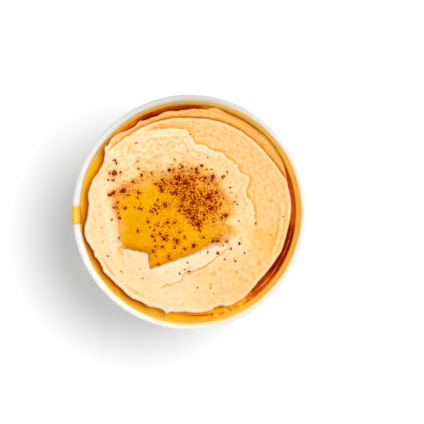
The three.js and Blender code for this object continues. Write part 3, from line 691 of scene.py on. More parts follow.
def bowl_height(angle, radius, top):
    """The crater's bed, a bowl below the shore, and its bank, a parabola up to the top."""
    shore = shore_radius(angle)
    inside = np.minimum(radius / shore, 1)
    bed = POOL_LEVEL - POOL_DEPTH * (1 - inside**BOWL_POWER)
    rise = np.clip((radius - shore) / bank_width(angle), 0, 1)
    return bed + (top - POOL_LEVEL) * (1 - (1 - rise) ** 2)


def notch_bank(x, y):
    """Share of the way up the notch: it lies inside two leaning lines."""
    tilt, lean = np.radians(NOTCH.tilt), np.radians(NOTCH.lean)
    dx, dy = x - NOTCH.x, y - NOTCH.y
    beside = -dx * np.cos(lean) - dy * np.sin(lean)
    below = -dx * np.sin(tilt) - dy * np.cos(tilt)
    torn = NOTCH_TORN.height * flat_noise(x, y, NOTCH_TORN)
    inside = np.minimum(beside, below) + torn
    joined = 1 - smoothstep(beside, NOTCH.reach, NOTCH.reach + NOTCH.fade)
    return step_at(inside, 0, NOTCH.bank) * joined


def streaks(angle, radius, size):
    """Noise drawn out along a circle: round_noise's circle, with the radius as its height. Its
    features are long round the circle and less wide across it."""
    turned, reach = np.radians(angle), STREAK_RADIUS / size.long
    return noise(reach * np.cos(turned), reach * np.sin(turned), radius / size.wide, size.seed)


def strata(at):
    """Torn layers where the spoon left the paste: noise drawn out along a slanting line, bent
    by slower noise, and pressed towards -1 and 1 by tanh, so that it makes flakes with sharp
    sides."""
    slant = np.radians(STRATA.slant)
    along = at.x * np.cos(slant) + at.y * np.sin(slant)
    across = at.y * np.cos(slant) - at.x * np.sin(slant)
    across = across + STRATA_BEND.height * flat_noise(at.x, at.y, STRATA_BEND)
    flakes = sum(
        strength * noise(along / length, across / width, seed=seed)
        for strength, length, width, seed in STRATA_FLAKES
    )
    return np.tanh(STRATA.press * flakes)


def torn_side(at):
    """Where the paste is torn: on the back of the crater, between its pool and the stroke."""
    side = window(at.crater_angle, *TORN_SIDE.stretch)
    side = side * smoothstep(at.crater_radius, *TORN_SIDE.rise)
    return side * (1 - at.on_stroke) * (1 - at.on_ledge)


def fine_relief(at):
    """What is too fine for the solid: lumps and grain of the paste, dimples drawn out along the
    spoon's stroke, scores along the ledge, flakes where the paste is torn, and pits."""
    lumps = LUMPS.height * flat_noise(at.x, at.y, LUMPS)
    grain = GRAIN.height * flat_noise(at.x, at.y, GRAIN)
    across = 0.5 * (at.crater_radius + at.radius)
    dimples = np.maximum(streaks(at.crater_angle, across, DIMPLES) - DIMPLES.above, 0)
    fine_dimples = np.maximum(streaks(at.crater_angle, across, FINE_DIMPLES), 0)
    dimples = dimples + FINE_DIMPLES.share * fine_dimples
    scores = streaks(at.angle, at.radius, SCORES)
    scores = scores + BROAD_SCORES.share * streaks(at.angle, at.radius, BROAD_SCORES)
    torn = torn_side(at)
    near_ridge = bell((at.crater_radius - at.ridge + CRUMBS.inside) / CRUMBS.reach)
    near_ridge = near_ridge * stroke_present(at.crater_angle)
    more = CRUMBS.front + CRUMBS.back * window(at.crater_angle, *CRUMBS_BACK)
    crumbly = np.maximum(near_ridge * more, CRUMBS.torn * torn)
    return (
        lumps + grain
        - DIMPLES.depth * dimples * at.on_stroke
        + SCORES.height * scores * at.on_ledge
        + CRUMBS.height * flat_noise(at.x, at.y, CRUMBS) * crumbly
        + STRATA.height * strata(at) * torn
        - pit_depth(at.x, at.y)
    )


def bank_share(at):
    """Share of the way up the steep banks of the flap and the notch. The flap's bank spreads
    out at its far end."""
    torn = FLAP_TORN.height * flat_noise(at.x, at.y, FLAP_TORN)
    spread = FLAP.spread * smoothstep(at.along, *FLAP.spread_rise)
    flap_bank = smoothstep(at.behind + torn, -FLAP.bank - spread, FLAP.bank)
    return np.maximum(flap_bank, notch_bank(at.x, at.y))


def body_height(at):
    """Height of the solid's form: the bowl, and the flap and the notch that stand into it."""
    top = top_height(at)
    bowl = bowl_height(at.crater_angle, at.crater_radius, top)
    return lerp(bowl, top, bank_share(at))


def steep_bank(at):
    """1 half way up the steep banks: share times its complement, where they stand over a drop."""
    share = bank_share(at)
    top = top_height(at)
    drop = top - bowl_height(at.crater_angle, at.crater_radius, top)
    return 4 * share * (1 - share) * smoothstep(drop, *STEEP)


def surface_height(x, y):
    """Height of the hummus, with the fine relief on its form."""
    at = place_of(x, y)
    return body_height(at) + fine_relief(at)


# ------------------------------------------------------------------ meshes


def band(first, second):
    """Triangles between a closed ring of point numbers and the next one out or down. Either may
    also be rows of rings, and then each row is joined to its own partner."""
    first_next, second_next = np.roll(first, -1, -1), np.roll(second, -1, -1)
    near = np.stack([first, second, second_next], -1).reshape(-1, 3)
    far = np.stack([first, second_next, first_next], -1).reshape(-1, 3)
    return np.concatenate([near, far])


def fan(ring, centre):
    """Triangles from a closed ring to one point."""
    return np.stack([np.full(ring.shape, centre), ring, np.roll(ring, -1)], -1)


def capped(rings, start, end):
    """Points and faces of a closed body: rings (row, place, 3) between two single points."""
    rows, around = rings.shape[:2]
    index = np.arange(rows * around).reshape(rows, around)
    points = np.vstack([rings.reshape(-1, 3), start, end])
    ends = [fan(index[0], rows * around), fan(index[-1][::-1], rows * around + 1)]
    return points, np.concatenate([band(index[:-1], index[1:]), *ends])


def looped(rings):
    """Points and faces of a closed body whose last ring is joined to the first again."""
    rows, around = rings.shape[:2]
    index = np.arange(rows * around).reshape(rows, around)
    return rings.reshape(-1, 3), band(index, np.roll(index, -1, 0))


def disc_grid(count):
    """A square grid bent into a disc: each square ring becomes a circle at the same share of
    the radius, with its points at even angles, and quads are split along the radius. Returns each
    point's share and angle, the faces, and the numbers of the points round the border."""
    a, b = np.meshgrid(np.linspace(-1, 1, count + 1), np.linspace(-1, 1, count + 1))
    wide = np.abs(a) > np.abs(b)
    share = np.where(wide, a, b)
    safe = np.where(share == 0, 1, share)
    angle = np.where(wide, 45 * b / safe, 90 - 45 * a / safe)
    angle = np.where(share < 0, angle + 180, angle)
    index = np.arange((count + 1) ** 2).reshape(count + 1, count + 1)
    a, b, c, d = index[:-1, :-1], index[:-1, 1:], index[1:, 1:], index[1:, :-1]
    middle = np.arange(count) - (count - 1) / 2
    rising = (middle[:, None] * middle > 0)[..., None]
    near = np.where(rising, np.stack([a, b, c], -1), np.stack([a, b, d], -1))
    far = np.where(rising, np.stack([a, c, d], -1), np.stack([b, c, d], -1))
    faces = np.concatenate([near.reshape(-1, 3), far.reshape(-1, 3)])
    sides = [index[0, :-1], index[:-1, -1], index[-1, :0:-1], index[:0:-1, 0]]
    return np.abs(share), angle, faces, np.concatenate(sides)


def polar(radius, angle, height):
    """Points from radius, angle and height about the tub's axis."""
    turned = np.radians(angle)
    place = np.broadcast_arrays(radius * np.cos(turned), radius * np.sin(turned), height)
    return np.stack(place, -1)


def make_piece(name, shape, finish, replaces=(), fields=None, smooth=True):
    """A mesh from arrays: points (n, 3) in millimetres and triangles (m, 3), turned to face
    outwards by the sign of the volume, with fields of one number a point for its finish."""
    points, faces = shape
    first, second, third = (points[faces[:, k]] for k in range(3))
    if np.einsum("ij,ij", first, np.cross(second, third)) < 0:
        faces = faces[:, ::-1]
    mesh = bpy.data.meshes.new(name)
    mesh.vertices.add(len(points))
    mesh.vertices.foreach_set("co", (points * MM).astype(np.float32).ravel())
    mesh.loops.add(faces.size)
    mesh.loops.foreach_set("vertex_index", faces.astype(np.int32).ravel())
    mesh.polygons.add(len(faces))
    mesh.polygons.foreach_set("loop_start", np.arange(0, faces.size, 3, dtype=np.int32))
    mesh.polygons.foreach_set("use_smooth", np.full(len(faces), smooth))
    mesh.update(calc_edges=True)
    for field, values in (fields or {}).items():
        attribute = mesh.attributes.new(field, "FLOAT", "POINT")
        attribute.data.foreach_set("value", values.astype(np.float32).ravel())
    mesh.materials.append(finish)
    piece = bpy.data.objects.new(name, mesh)
    bpy.context.scene.collection.objects.link(piece)
    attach(piece, "root")
    if replaces:
        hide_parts(*replaces)
    return piece


# ------------------------------------------------------------------ finishes


def albedo(red, green, blue, share=1.0):
    """A colour in 0-255 steps as a linear colour, times a share."""
    steps = np.array([red, green, blue]) / 255
    linear = np.where(steps <= 0.04045, steps / 12.92, ((steps + 0.055) / 1.055) ** 2.4)
    return (*(float(value) for value in linear * share), 1.0)


LIGHT_SHARE = 0.86  # a finish's own colour, as a share of how bright it looks in this light


def seen(red, green, blue):
    """A finish's own colour, from how it looks in 0-255 steps under the soft light."""
    return albedo(red, green, blue, LIGHT_SHARE)


class Wire:
    """A number in a finish's nodes. Arithmetic on it adds the Math nodes that work it out."""

    def __init__(self, finish, socket):
        self.finish, self.socket = finish, socket

    def math(self, operation, first, second=0.0):
        """A Math node on two numbers or wires."""
        settings = {"operation": operation}
        return self.finish.node("ShaderNodeMath", settings, {0: first, 1: second})

    def __add__(self, other):
        return self.math("ADD", self, other)

    def __sub__(self, other):
        return self.math("SUBTRACT", self, other)

    def __mul__(self, other):
        return self.math("MULTIPLY", self, other)

    def __rsub__(self, other):
        return self.math("SUBTRACT", other, self)

    __radd__ = __add__
    __rmul__ = __mul__


class Finish:
    """A material for one surface, built round a Principled shader."""

    def __init__(self, name, **constants):
        self.material = bpy.data.materials.new(name)
        self.material.use_nodes = True
        self.tree = self.material.node_tree
        self.shader = self.tree.nodes["Principled BSDF"]
        self.set(**constants)

    def node(self, kind, settings=None, values=None, output=0):
        """Any node: its settings first, then the values or links of its sockets."""
        made = self.tree.nodes.new(kind)
        for setting, value in (settings or {}).items():
            if setting == "stops":
                self.set_stops(made.color_ramp, value)
            else:
                setattr(made, setting, value)
        for socket, value in (values or {}).items():
            self.feed(made.inputs[socket], value)
        return Wire(self, made.outputs[output])

    def set_stops(self, ramp, stops):
        """Places and colours of a ramp's stops."""
        while len(ramp.elements) < len(stops):
            ramp.elements.new(1.0)
        for element, (place, colour) in zip(ramp.elements, stops):
            element.position, element.color = place, colour

    def feed(self, socket, value):
        """A link where the value is a wire, or else a plain value."""
        if isinstance(value, Wire):
            self.tree.links.new(value.socket, socket)
        else:
            socket.default_value = value

    def set(self, **values):
        """Values or links for the shader's own sockets."""
        for socket, value in values.items():
            self.feed(self.shader.inputs[socket.replace("_", " ")], value)
        return self.material

    def place(self):
        """A point's own place, in metres."""
        return self.node("ShaderNodeTexCoord", output="Object")

    def field(self, name):
        """A number that the piece's mesh carries for each point."""
        return self.node("ShaderNodeAttribute", {"attribute_name": name}, output="Fac")

    def grain(self, size, detail=2.0, rough=0.5):
        """Noise of about 0 to 1 whose features are size millimetres across."""
        values = {"Vector": self.place(), "Scale": 1 / (size * MM)}
        values.update(Detail=detail, Roughness=rough)
        return self.node("ShaderNodeTexNoise", values=values)

    def between(self, value, low, high):
        """0 below low and 1 above high, smooth between them."""
        settings = {"interpolation_type": "SMOOTHSTEP"}
        limits = {"Value": value, "From Min": low, "From Max": high}
        return self.node("ShaderNodeMapRange", settings, limits)

    def mix(self, share, first, second):
        """Two colours mixed by a share."""
        settings = {"data_type": "RGBA"}
        return self.node("ShaderNodeMix", settings, {0: share, 6: first, 7: second}, 2)

    def tinted(self, colour, light):
        """A colour made lighter or darker by a number."""
        settings = {"operation": "SCALE"}
        return self.node("ShaderNodeVectorMath", settings, {0: colour, "Scale": light})

    def ramp(self, share, stops):
        """A colour from a row of stops, straight between them."""
        return self.node("ShaderNodeValToRGB", {"stops": stops}, {"Fac": share})

    def bump(self, height, depth, strength=1.0):
        """A normal from a height of 0 to 1 that stands for depth millimetres."""
        values = {"Height": height, "Distance": depth * MM, "Strength": strength}
        return self.node("ShaderNodeBump", values=values)


def hummus_finish():
    """Chickpea paste: cream where it is dry, orange where oil has soaked in and, as painted shade,
    in hollows, redder near the paprika, with fine grain in its colour and its relief, and made
    lighter by painted light where its banks turn away from the lamp."""
    paste = Finish("chickpea_paste", IOR=1.42, Subsurface_Weight=0.15,
                   Subsurface_Radius=(1.0, 0.55, 0.22), Subsurface_Scale=1.0 * MM)
    mottle = paste.grain(0.7, 2.0, rough=0.6)
    patches = paste.grain(3.4, 3.0)
    tone = paste.field("warmth") + (mottle - 0.5) * 0.5 + (patches - 0.5) * 0.22
    stops = [
        (0.0, seen(254, 236, 200)),
        (0.2, seen(253, 223, 173)),
        (0.4, seen(253, 209, 141)),
        (0.6, seen(250, 188, 88)),
        (0.8, seen(240, 165, 50)),
        (1.0, seen(200, 122, 14)),
    ]
    speckle = paste.between(paste.grain(0.5, 1.0), 0.5, 0.7)
    red = paste.field("paprika") * (speckle * 0.7 + 0.5)
    reds = [
        (0.0, seen(250, 190, 80)),
        (0.5, seen(236, 130, 22)),
        (1.0, seen(180, 60, 4)),
    ]
    orange = paste.ramp(red, reds)
    # Painted light: the field light makes the colour lighter on banks that turn away from the lamp.
    cream = paste.tinted(paste.ramp(tone, stops), paste.field("light"))
    colour = paste.mix(paste.between(red, 0.0, 0.75), cream, orange)
    relief = paste.grain(0.8, 3.0, rough=0.6) * 0.7 + mottle * 0.3
    shine = 0.6 - paste.between(tone, 0.4, 1.0) * 0.26
    return paste.set(Base_Color=colour, Roughness=shine, Normal=paste.bump(relief, 0.3, 0.9))


def pool_finish():
    """Olive oil over the crater's bed: the paste shows through where it is shallow, and the
    colour deepens to gold and olive with the depth and with painted shade towards the left and the
    bottom, and is darker near its front banks; paprika gives it an orange haze and dust."""
    oil = Finish("paprika_oil", Roughness=0.06, IOR=1.47)
    cloud = oil.grain(4.5, 3.0)
    grit = oil.grain(0.7, 2.0, rough=0.7)
    reach = oil.field("depth") + (cloud - 0.5) * 0.3 + (grit - 0.5) * 0.5
    stops = [
        (0.0, seen(253, 190, 80)),
        (0.12, seen(251, 180, 50)),
        (0.3, seen(250, 186, 10)),
        (0.5, seen(248, 180, 6)),
        (0.8, seen(236, 162, 6)),
        (1.0, seen(200, 132, 4)),
    ]
    dust = oil.between(oil.grain(0.62, 1.0), 0.48, 0.66)
    flecks = oil.between(oil.grain(0.42, 0.0), 0.6, 0.7)
    haze = oil.field("paprika") * (dust * 0.9 + 0.3) + flecks * 0.26
    reds = [
        (0.0, seen(240, 138, 10)),
        (0.5, seen(220, 92, 8)),
        (1.0, seen(146, 30, 0)),
    ]
    red = oil.ramp(haze, reds)
    colour = oil.mix(oil.between(haze, 0.0, 0.6), oil.ramp(reach, stops), red)
    return oil.set(Base_Color=colour, Normal=oil.bump(oil.grain(2.6, 2.0), 0.05, 0.5))


def moat_finish():
    """Oil in the moat: gold where it is shallow, then amber, then the dark red of oil that the
    paprika has coloured through; its tone also carries painted shade and a painted highlight."""
    oil = Finish("deep_oil", Roughness=0.07, IOR=1.47)
    cloud = oil.grain(2.6, 3.0)
    reach = oil.field("depth") + (cloud - 0.5) * 0.16 + (oil.grain(0.8, 2.0) - 0.5) * 0.16
    stops = [
        (0.0, albedo(248, 208, 40)),
        (0.2, albedo(240, 192, 20)),
        (0.4, albedo(232, 172, 12)),
        (0.6, albedo(235, 142, 10)),
        (0.8, albedo(200, 90, 5)),
        (1.0, albedo(130, 18, 0)),
    ]
    return oil.set(Base_Color=oil.ramp(reach, stops), Normal=oil.bump(cloud, 0.02, 0.4))


def film_finish():
    """A thin film of oil on white board: yellow where it is thin and along a painted highlight,
    orange where it gathers.
    """
    oil = Finish("oil_film", Roughness=0.08, IOR=1.47)
    reach = oil.field("depth") + (oil.grain(1.6, 2.0) - 0.5) * 0.5
    stops = [
        (0.0, seen(250, 222, 96)),
        (0.4, seen(250, 190, 30)),
        (0.8, seen(247, 158, 2)),
        (1.0, seen(236, 138, 0)),
    ]
    return oil.set(Base_Color=oil.ramp(reach, stops))


def board_finish():
    """White paperboard with a thin waxy coat, a faint fibre grain, and the stain of oil on the
    inner wall. Light passes a little way into the board; where oil soaks it, a painted glow stands
    for light through it, and painted shade and painted light make the rim greyer or lighter."""
    board = Finish("coated_board", IOR=1.5, Specular_IOR_Level=0.15, Subsurface_Weight=1.0,
                   Subsurface_Radius=(1.0, 0.85, 0.6), Subsurface_Scale=3.0 * MM, Roughness=0.5,
                   Emission_Strength=1.0)
    fibre = board.grain(1.4, 4.0, rough=0.65)
    white = board.mix(board.grain(9.0), seen(234, 234, 232), seen(239, 239, 237))
    # Painted shade and painted light: the field light makes the white greyer or lighter round the
    # rim.
    white = board.tinted(white, (fibre * 0.05 + 0.97) * board.field("light"))
    stain = board.field("film") + (board.grain(2.2, 3.0) - 0.5) * board.field("film") * 0.3
    stain = board.between(stain, 0.0, 0.85)
    ochre = board.mix(board.grain(5.0), albedo(255, 196, 84), albedo(255, 204, 100))
    colour = board.mix(stain, white, ochre)
    # Painted light: the board glows as if light came through the oiled wall.
    painted_glow_colour = board.tinted(PAINTED_GLOW.colour, board.field("glow"))
    return board.set(Base_Color=colour, Emission_Color=painted_glow_colour, Normal=board.bump(fibre, 0.03, 0.5))


def paprika_finish():
    """Ground paprika: brick red to nearly black, and brown for the finest flakes."""
    flakes = Finish("paprika_flakes", Roughness=0.9, Specular_IOR_Level=0.0)
    stops = [
        (0.0, seen(112, 6, 0)),
        (0.4, seen(162, 22, 0)),
        (0.7, seen(190, 62, 0)),
        (1.0, seen(134, 84, 8)),
    ]
    shade = flakes.field("shade") + (flakes.grain(0.3, 1.0) - 0.5) * 0.3
    return flakes.set(Base_Color=flakes.ramp(shade, stops))


def floor_finish():
    """Plain pale floor, two near greys mixed by broad noise."""
    pale = Finish("pale_floor", Roughness=0.85)
    cloud = pale.grain(300, 2.0)
    return pale.set(Base_Color=pale.mix(cloud, (0.895, 0.895, 0.895, 1), (0.905, 0.905, 0.905, 1)))


# ------------------------------------------------------------------ the tub


def wall_section():
    """Closed section of the tub's wall: inner face, rolled rim with its tucked-in end, outer
    face, and the foot where the board is folded up inside. Each point is (radius, height, how
    far the seam stands proud there)."""
    fold_top = FLOOR_TOP - BOARD - FOLD_GAP
    skirt = BASE_RADIUS - SKIRT_BOARD
    centre = (BEAD.r, BEAD.z)
    tuck_z = BEAD.z - BEAD_RADIUS - TUCK
    inner_foot = (inner_radius(fold_top), fold_top)
    fold_edge = (skirt + TAPER * fold_top, fold_top)
    seam_foot = (outer_radius(SEAM.foot), SEAM.foot)
    parts = [
        (line(inner_foot, (WALL_TOP_RADIUS, BEAD.z), INNER_ROWS), 0),
        (arc(centre, BEAD_RADIUS, 180, -120, 44), SEAM.roll_proud),
        (line((outer_radius(tuck_z), tuck_z), seam_foot, 24), SEAM.proud),
        (line(seam_foot, (BASE_RADIUS, FOOT_ROUND), 3), 0),
        (arc((BASE_RADIUS - FOOT_ROUND, FOOT_ROUND), FOOT_ROUND, 0, -90, 3), 0),
        (arc((skirt + FOOT_ROUND, FOOT_ROUND), FOOT_ROUND, -90, -180, 3), 0),
        (line((skirt, FOOT_ROUND), fold_edge, 4), 0),
        (line(fold_edge, inner_foot, 3), 0),
    ]
    return np.vstack([np.insert(points, 2, proud, axis=1) for points, proud in parts])


def section_normals(section):
    """Outward direction at each point of a section: its course turned left by a right angle."""
    course = np.gradient(section[:, :2], axis=0)
    course = course / np.linalg.norm(course, axis=1)[:, None]
    return np.stack([-course[:, 1], course[:, 0]], 1)


def tub_angles():
    """Even angles round the tub, with more of them where the seam's strip begins and ends."""
    near_edge = np.linspace(-2 * SEAM.edge, 2 * SEAM.edge, 9)
    edges = SEAM.angle + SEAM.half * np.array([[-1], [1]]) + near_edge
    return np.unique(np.concatenate([np.arange(0, 360, 360 / TUB_AROUND), edges.ravel()]))


def make_wall():
    """The section spun round the axis and pushed out along its own normal on the seam's strip.
    Film is how far oil has stained the inner wall and the rim, a smooth step in radius whose edge
    wanders; light is painted shade and painted light that make the board greyer or lighter; the
    painted glow is the film below a height, painted light that stands for light through the board."""
    angle = tub_angles()
    section = wall_section()
    normal = section_normals(section)
    from_seam = np.abs(turn(angle, SEAM.angle))
    strip = 1 - step_at(from_seam, SEAM.half, SEAM.edge)
    dent = DENT.height * round_noise(angle, RIM_RADIUS, DENT)
    upper = smoothstep(section[:, 1], *DENT.rise)
    push = section[:, 2, None] * strip + upper[:, None] * dent
    radius = section[:, 0, None] + push * normal[:, 0, None]
    height = section[:, 1, None] + push * normal[:, 1, None]
    shape = looped(polar(radius, angle, height))
    first_rows = np.arange(len(section)) < INNER_ROWS + FILM.roll_rows
    inside = (section[:, 0] < BEAD.r + FILM.over_bead) & first_rows
    wander = FILM.sway * round_noise(angle, RIM_RADIUS, FILM)
    wander = wander + FILM.high * window(angle, *FILM_HIGH) - FILM.low * window(angle, *FILM_LOW)
    film = inside[:, None] * (1 - smoothstep(radius + wander, FILM.start, FILM.end))
    # Painted shade makes the rim greyer about one angle and at its brink; painted light, lighter
    # beyond.
    light = 1 - SHADED.share * bell(turn(angle, SHADED.middle) / SHADED.half)
    brink = smoothstep(radius, BEAD.r + SHADED.brink, RIM_RADIUS) * window(angle, *SHADED.stretch)
    light = light + SUNLIT.share * window(angle, *SUNLIT.stretch) - SHADED.edge * brink
    # Painted light: the glow on the oiled wall below a height, less round most of the tub.
    glow = film * (1 - smoothstep(height, PAINTED_GLOW.low, PAINTED_GLOW.high))
    glow = glow * (1 - PAINTED_GLOW.shaded * window(angle, *PAINTED_GLOW.stretch))
    fields = {"film": film.ravel(), "light": light.ravel(), "glow": glow.ravel()}
    make_piece("tub_board", shape, board_finish(), ["tub_wall"], fields)


def make_base():
    """The base: a disc held by the wall above its fold, dished as a parabola."""
    angle = np.arange(0, 360, 360 / BASE_AROUND)
    share = np.linspace(0, 1, BASE_RINGS)[1:, None]
    reach = inner_radius(FLOOR_TOP) + REACH_INTO_WALL
    sag = BASE_SAG * (1 - share**2)
    upper = polar(reach * share, angle, FLOOR_TOP - sag)
    lower = polar(reach * share[::-1], angle, FLOOR_TOP - BOARD - sag[::-1])
    top, bottom = FLOOR_TOP - BASE_SAG, FLOOR_TOP - BOARD - BASE_SAG
    shape = capped(np.concatenate([upper, lower]), [0, 0, top], [0, 0, bottom])
    none = np.zeros(len(shape[0]))
    fields = {"film": none, "light": none + 1, "glow": none}
    make_piece("tub_disc", shape, board_finish(), ["tub_base"], fields)


# ------------------------------------------------------------------ the hummus


def below_mean(values, count, reach):
    """How far each point of a disc grid lies below the mean of the points round it: running
    means along the rows and then the columns of the square grid."""
    mean = values.reshape(count + 1, count + 1)
    kernel = np.ones(2 * reach + 1) / (2 * reach + 1)
    for axis in (0, 1):
        wide = np.pad(mean, [(reach, reach) if k == axis else (0, 0) for k in (0, 1)], "edge")
        mean = np.apply_along_axis(np.convolve, axis, wide, kernel, "valid")
    return mean.ravel() - values


def bank_right(at):
    """The crater's bank on the right, which turns away from the lamp."""
    side = window(at.crater_angle, *BANK_RIGHT.stretch) * (1 - at.on_stroke) * (1 - at.on_ledge)
    from_shore = at.crater_radius - shore_radius(at.crater_angle)
    return side * smoothstep(from_shore, *BANK_RIGHT.rise)


def light_of(at):
    """What the paste's colour is multiplied by, so that banks that turn away from the lamp stay
    light: 1, and a share for the bank on the right below its crest, for the torn side, and for a
    bell out from the pool's shore."""
    from_shore = np.maximum(at.crater_radius - shore_radius(at.crater_angle), 0)
    by_shore = window(at.crater_angle, *LIGHTER_SHORE) * bell(from_shore / LIGHTER.shore_reach)
    crest = smoothstep(at.crater_radius - at.ridge, *LIGHTER.crest_rise)
    right = LIGHTER.bank_right * bank_right(at) * (1 - LIGHTER.crest * crest)
    return 1 + right + LIGHTER.torn * torn_side(at) + LIGHTER.shore * by_shore


def warmth_of(at, height, hollow):
    """How warm the paste's colour is, 0 cream to 1 amber: a base value, more on the spoon's
    stroke, down the right and most on the ledge, more in hollows, where oil gathers and as painted
    shade, near the pool's shore, at the foot of each step, on the steep banks and along the crease."""
    off_stroke = (1 - at.on_stroke) * (1 - at.on_ledge)
    beyond_flap = smoothstep(at.behind, *WARM_RIGHT.behind)
    beyond_flap = beyond_flap * smoothstep(at.along, *WARM_RIGHT.along)
    right = window(at.angle, *WARM_RIGHT.stretch) * smoothstep(at.radius, *WARM_RIGHT.rise)
    right = right * (at.crater_radius > at.ridge - WARM_RIGHT.inside)
    right = np.maximum(right, beyond_flap * WARM_RIGHT.flap)
    crease = bell((at.behind - crease_distance(at.along)) / WARM_CREASE.width)
    sway = noise(at.along / WARM_CREASE.length, 0.0, seed=WARM_CREASE.seed)
    crease = crease * flap_present(at.along) * (WARM_CREASE.base + WARM_CREASE.sway * sway)
    from_ledge = at.radius - ledge_radius(at.angle)
    foot = WARM_LEDGE_FOOT
    ledge_foot = bell((from_ledge - foot.at) / foot.width) * ledge_present(at.angle)
    sway = round_noise(at.angle, foot.radius, foot)
    ledge_foot = ledge_foot * (foot.base + foot.sway * sway)
    ridge_foot = bell((at.crater_radius - at.ridge - WARM_RIDGE_FOOT.at) / WARM_RIDGE_FOOT.width)
    ridge_foot = ridge_foot * stroke_present(at.crater_angle)
    crest = bell((at.ridge - at.crater_radius - WARM_CREST.at) / WARM_CREST.width)
    crest = crest * window(at.crater_angle, *WARM_CREST.stretch)
    from_shore = at.crater_radius - shore_radius(at.crater_angle)
    by_shore = window(at.crater_angle, *WARM_SHORE.stretch)
    by_shore = WARM_SHORE.share * by_shore * bell(np.maximum(from_shore, 0) / WARM_SHORE.reach)
    soaked = 1 - smoothstep(height - POOL_LEVEL, *WARM_SHORE.rise)
    soaked = np.maximum(soaked, by_shore)
    damp = 1 - smoothstep(height - POOL_LEVEL, *WARM_BACK.rise)
    damp = damp * smoothstep(at.crater_radius, *WARM_BACK.radius_rise)
    bank_back = window(at.crater_angle, *WARM_BACK.stretch) * damp
    flap = smoothstep(at.behind, *COOL_FLAP.behind) * (1 - smoothstep(at.behind, *COOL_FLAP.fade))
    smear = bell(np.hypot(at.x - SMEAR.x, at.y - SMEAR.y) / (COOL_SMEAR * SMEAR.width))
    ledge = WARM_LEDGE.base + WARM_LEDGE.right * window(at.angle, *WARM_LEDGE_RIGHT)
    ledge = ledge + WARM_LEDGE.left * window(at.angle, *WARM_LEDGE_LEFT)
    ledge = ledge + WARM_LEDGE.outside * smoothstep(from_ledge, *WARM_LEDGE.outside_rise)
    ledge = ledge + WARM_LEDGE.streaks * streaks(at.angle, at.radius, WARM_LEDGE)
    banks = WARMTH.bank_back * bank_back + WARMTH.bank_right * bank_right(at)
    banks = banks + WARMTH.torn * torn_side(at)
    # Hollows are made warmer and darker: oil that gathers there, and painted shade.
    in_hollow = WARMTH.hollow * hollow * (1 - WARM_LEDGE.hollow * at.on_ledge)
    return (
        WARMTH.base
        + WARMTH.stroke * at.on_stroke
        + at.on_ledge * ledge
        + WARMTH.right * right * off_stroke
        + banks * off_stroke
        + WARMTH.flap * flap * flap_present(at.along)
        + WARMTH.crest * crest * off_stroke
        + WARMTH.strata * strata(at) * torn_side(at)
        + WARMTH.smear * smear
        + WARMTH.crease * crease
        + WARMTH.ledge_foot * ledge_foot * (1 - foot.less * window(at.angle, *foot.less_stretch))
        + WARMTH.ridge_foot * ridge_foot
        + WARMTH.soaked * soaked
        + WARMTH.steep * steep_bank(at)
        + np.clip(in_hollow, -WARMTH.hollow_most, WARMTH.hollow_most)
    )


def stain_of(x, y, clusters):
    """How much paprika has tinted a place: the sum of a bell round each cluster."""
    total = np.zeros(x.shape)
    for at_x, at_y, size in clusters:
        strength = min(size, STAIN.widest) / STAIN.widest
        reach = STAIN.near + STAIN.far * size
        total += strength * bell(np.hypot(x - at_x, y - at_y) / reach)
    return total


def haze_of(x, y):
    """Fine paprika that shows as a haze, as a sum of broad bells."""
    return sum(
        strength * bell(np.hypot(x - at_x, y - at_y) / spread)
        for at_x, at_y, spread, strength in HAZE
    )


def make_hummus(clusters):
    """The upper surface as a disc of fine triangles, then the flank down to the moat's floor,
    the part of the body against the tub's wall, and the bottom."""
    share, angle, faces, ring = disc_grid(HUMMUS_GRID)
    radius = share.ravel() * edge_radius(angle.ravel())
    top = polar(radius, angle.ravel(), 0.0)
    x, y = top[:, 0], top[:, 1]
    at = place_of(x, y)
    height = body_height(at) + fine_relief(at)
    top[:, 2] = height
    warmth = warmth_of(at, height, below_mean(height, HUMMUS_GRID, HOLLOW_REACH))
    around = angle.ravel()[ring]
    edge, brow, side = radius[ring], height[ring], flank_radius(around)
    low, bottom = MOAT_FLOOR - FLANK.widening, FLOOR_TOP - REACH_BELOW
    rows = [
        polar(row_radius + 0 * side, around, row_height + 0 * side)
        for row_radius, row_height in [
            (edge - UNDER_EDGE.inset, brow - UNDER_EDGE.drop),
            (side + CHIN.proud, brow - CHIN.drop),
            (side, np.minimum(brow - FLANK.drop, FLANK.top)),
            (side, FLANK.foot),
            (side, MOAT_FLOOR),
            (inner_radius(low) + REACH_INTO_WALL, low),
            (inner_radius(FILLING_WAIST) + REACH_INTO_WALL, FILLING_WAIST),
            (inner_radius(FLOOR_TOP), bottom),
            (0.5 * BASE_RADIUS, bottom),
        ]
    ]
    count = len(top)
    below = count + np.arange(len(rows) * len(ring)).reshape(len(rows), len(ring))
    rings = np.vstack([ring[None], below])
    points = np.vstack([top, *rows, [0, 0, bottom]])
    under = fan(below[-1][::-1], len(points) - 1)
    faces = np.concatenate([faces, band(rings[:-1], rings[1:]), under])
    stain = np.clip(STAIN.on_paste * stain_of(x, y, clusters) + haze_of(x, y), 0, 1)
    extra = len(points) - count
    fields = {
        "warmth": np.append(warmth, np.full(extra, WARMTH.flank)),
        "light": np.append(light_of(at), np.ones(extra)),
        "paprika": np.append(stain, np.zeros(extra)),
    }
    make_piece("hummus_paste", (points, faces), hummus_finish(), ["hummus"], fields)


# ------------------------------------------------------------------ oil


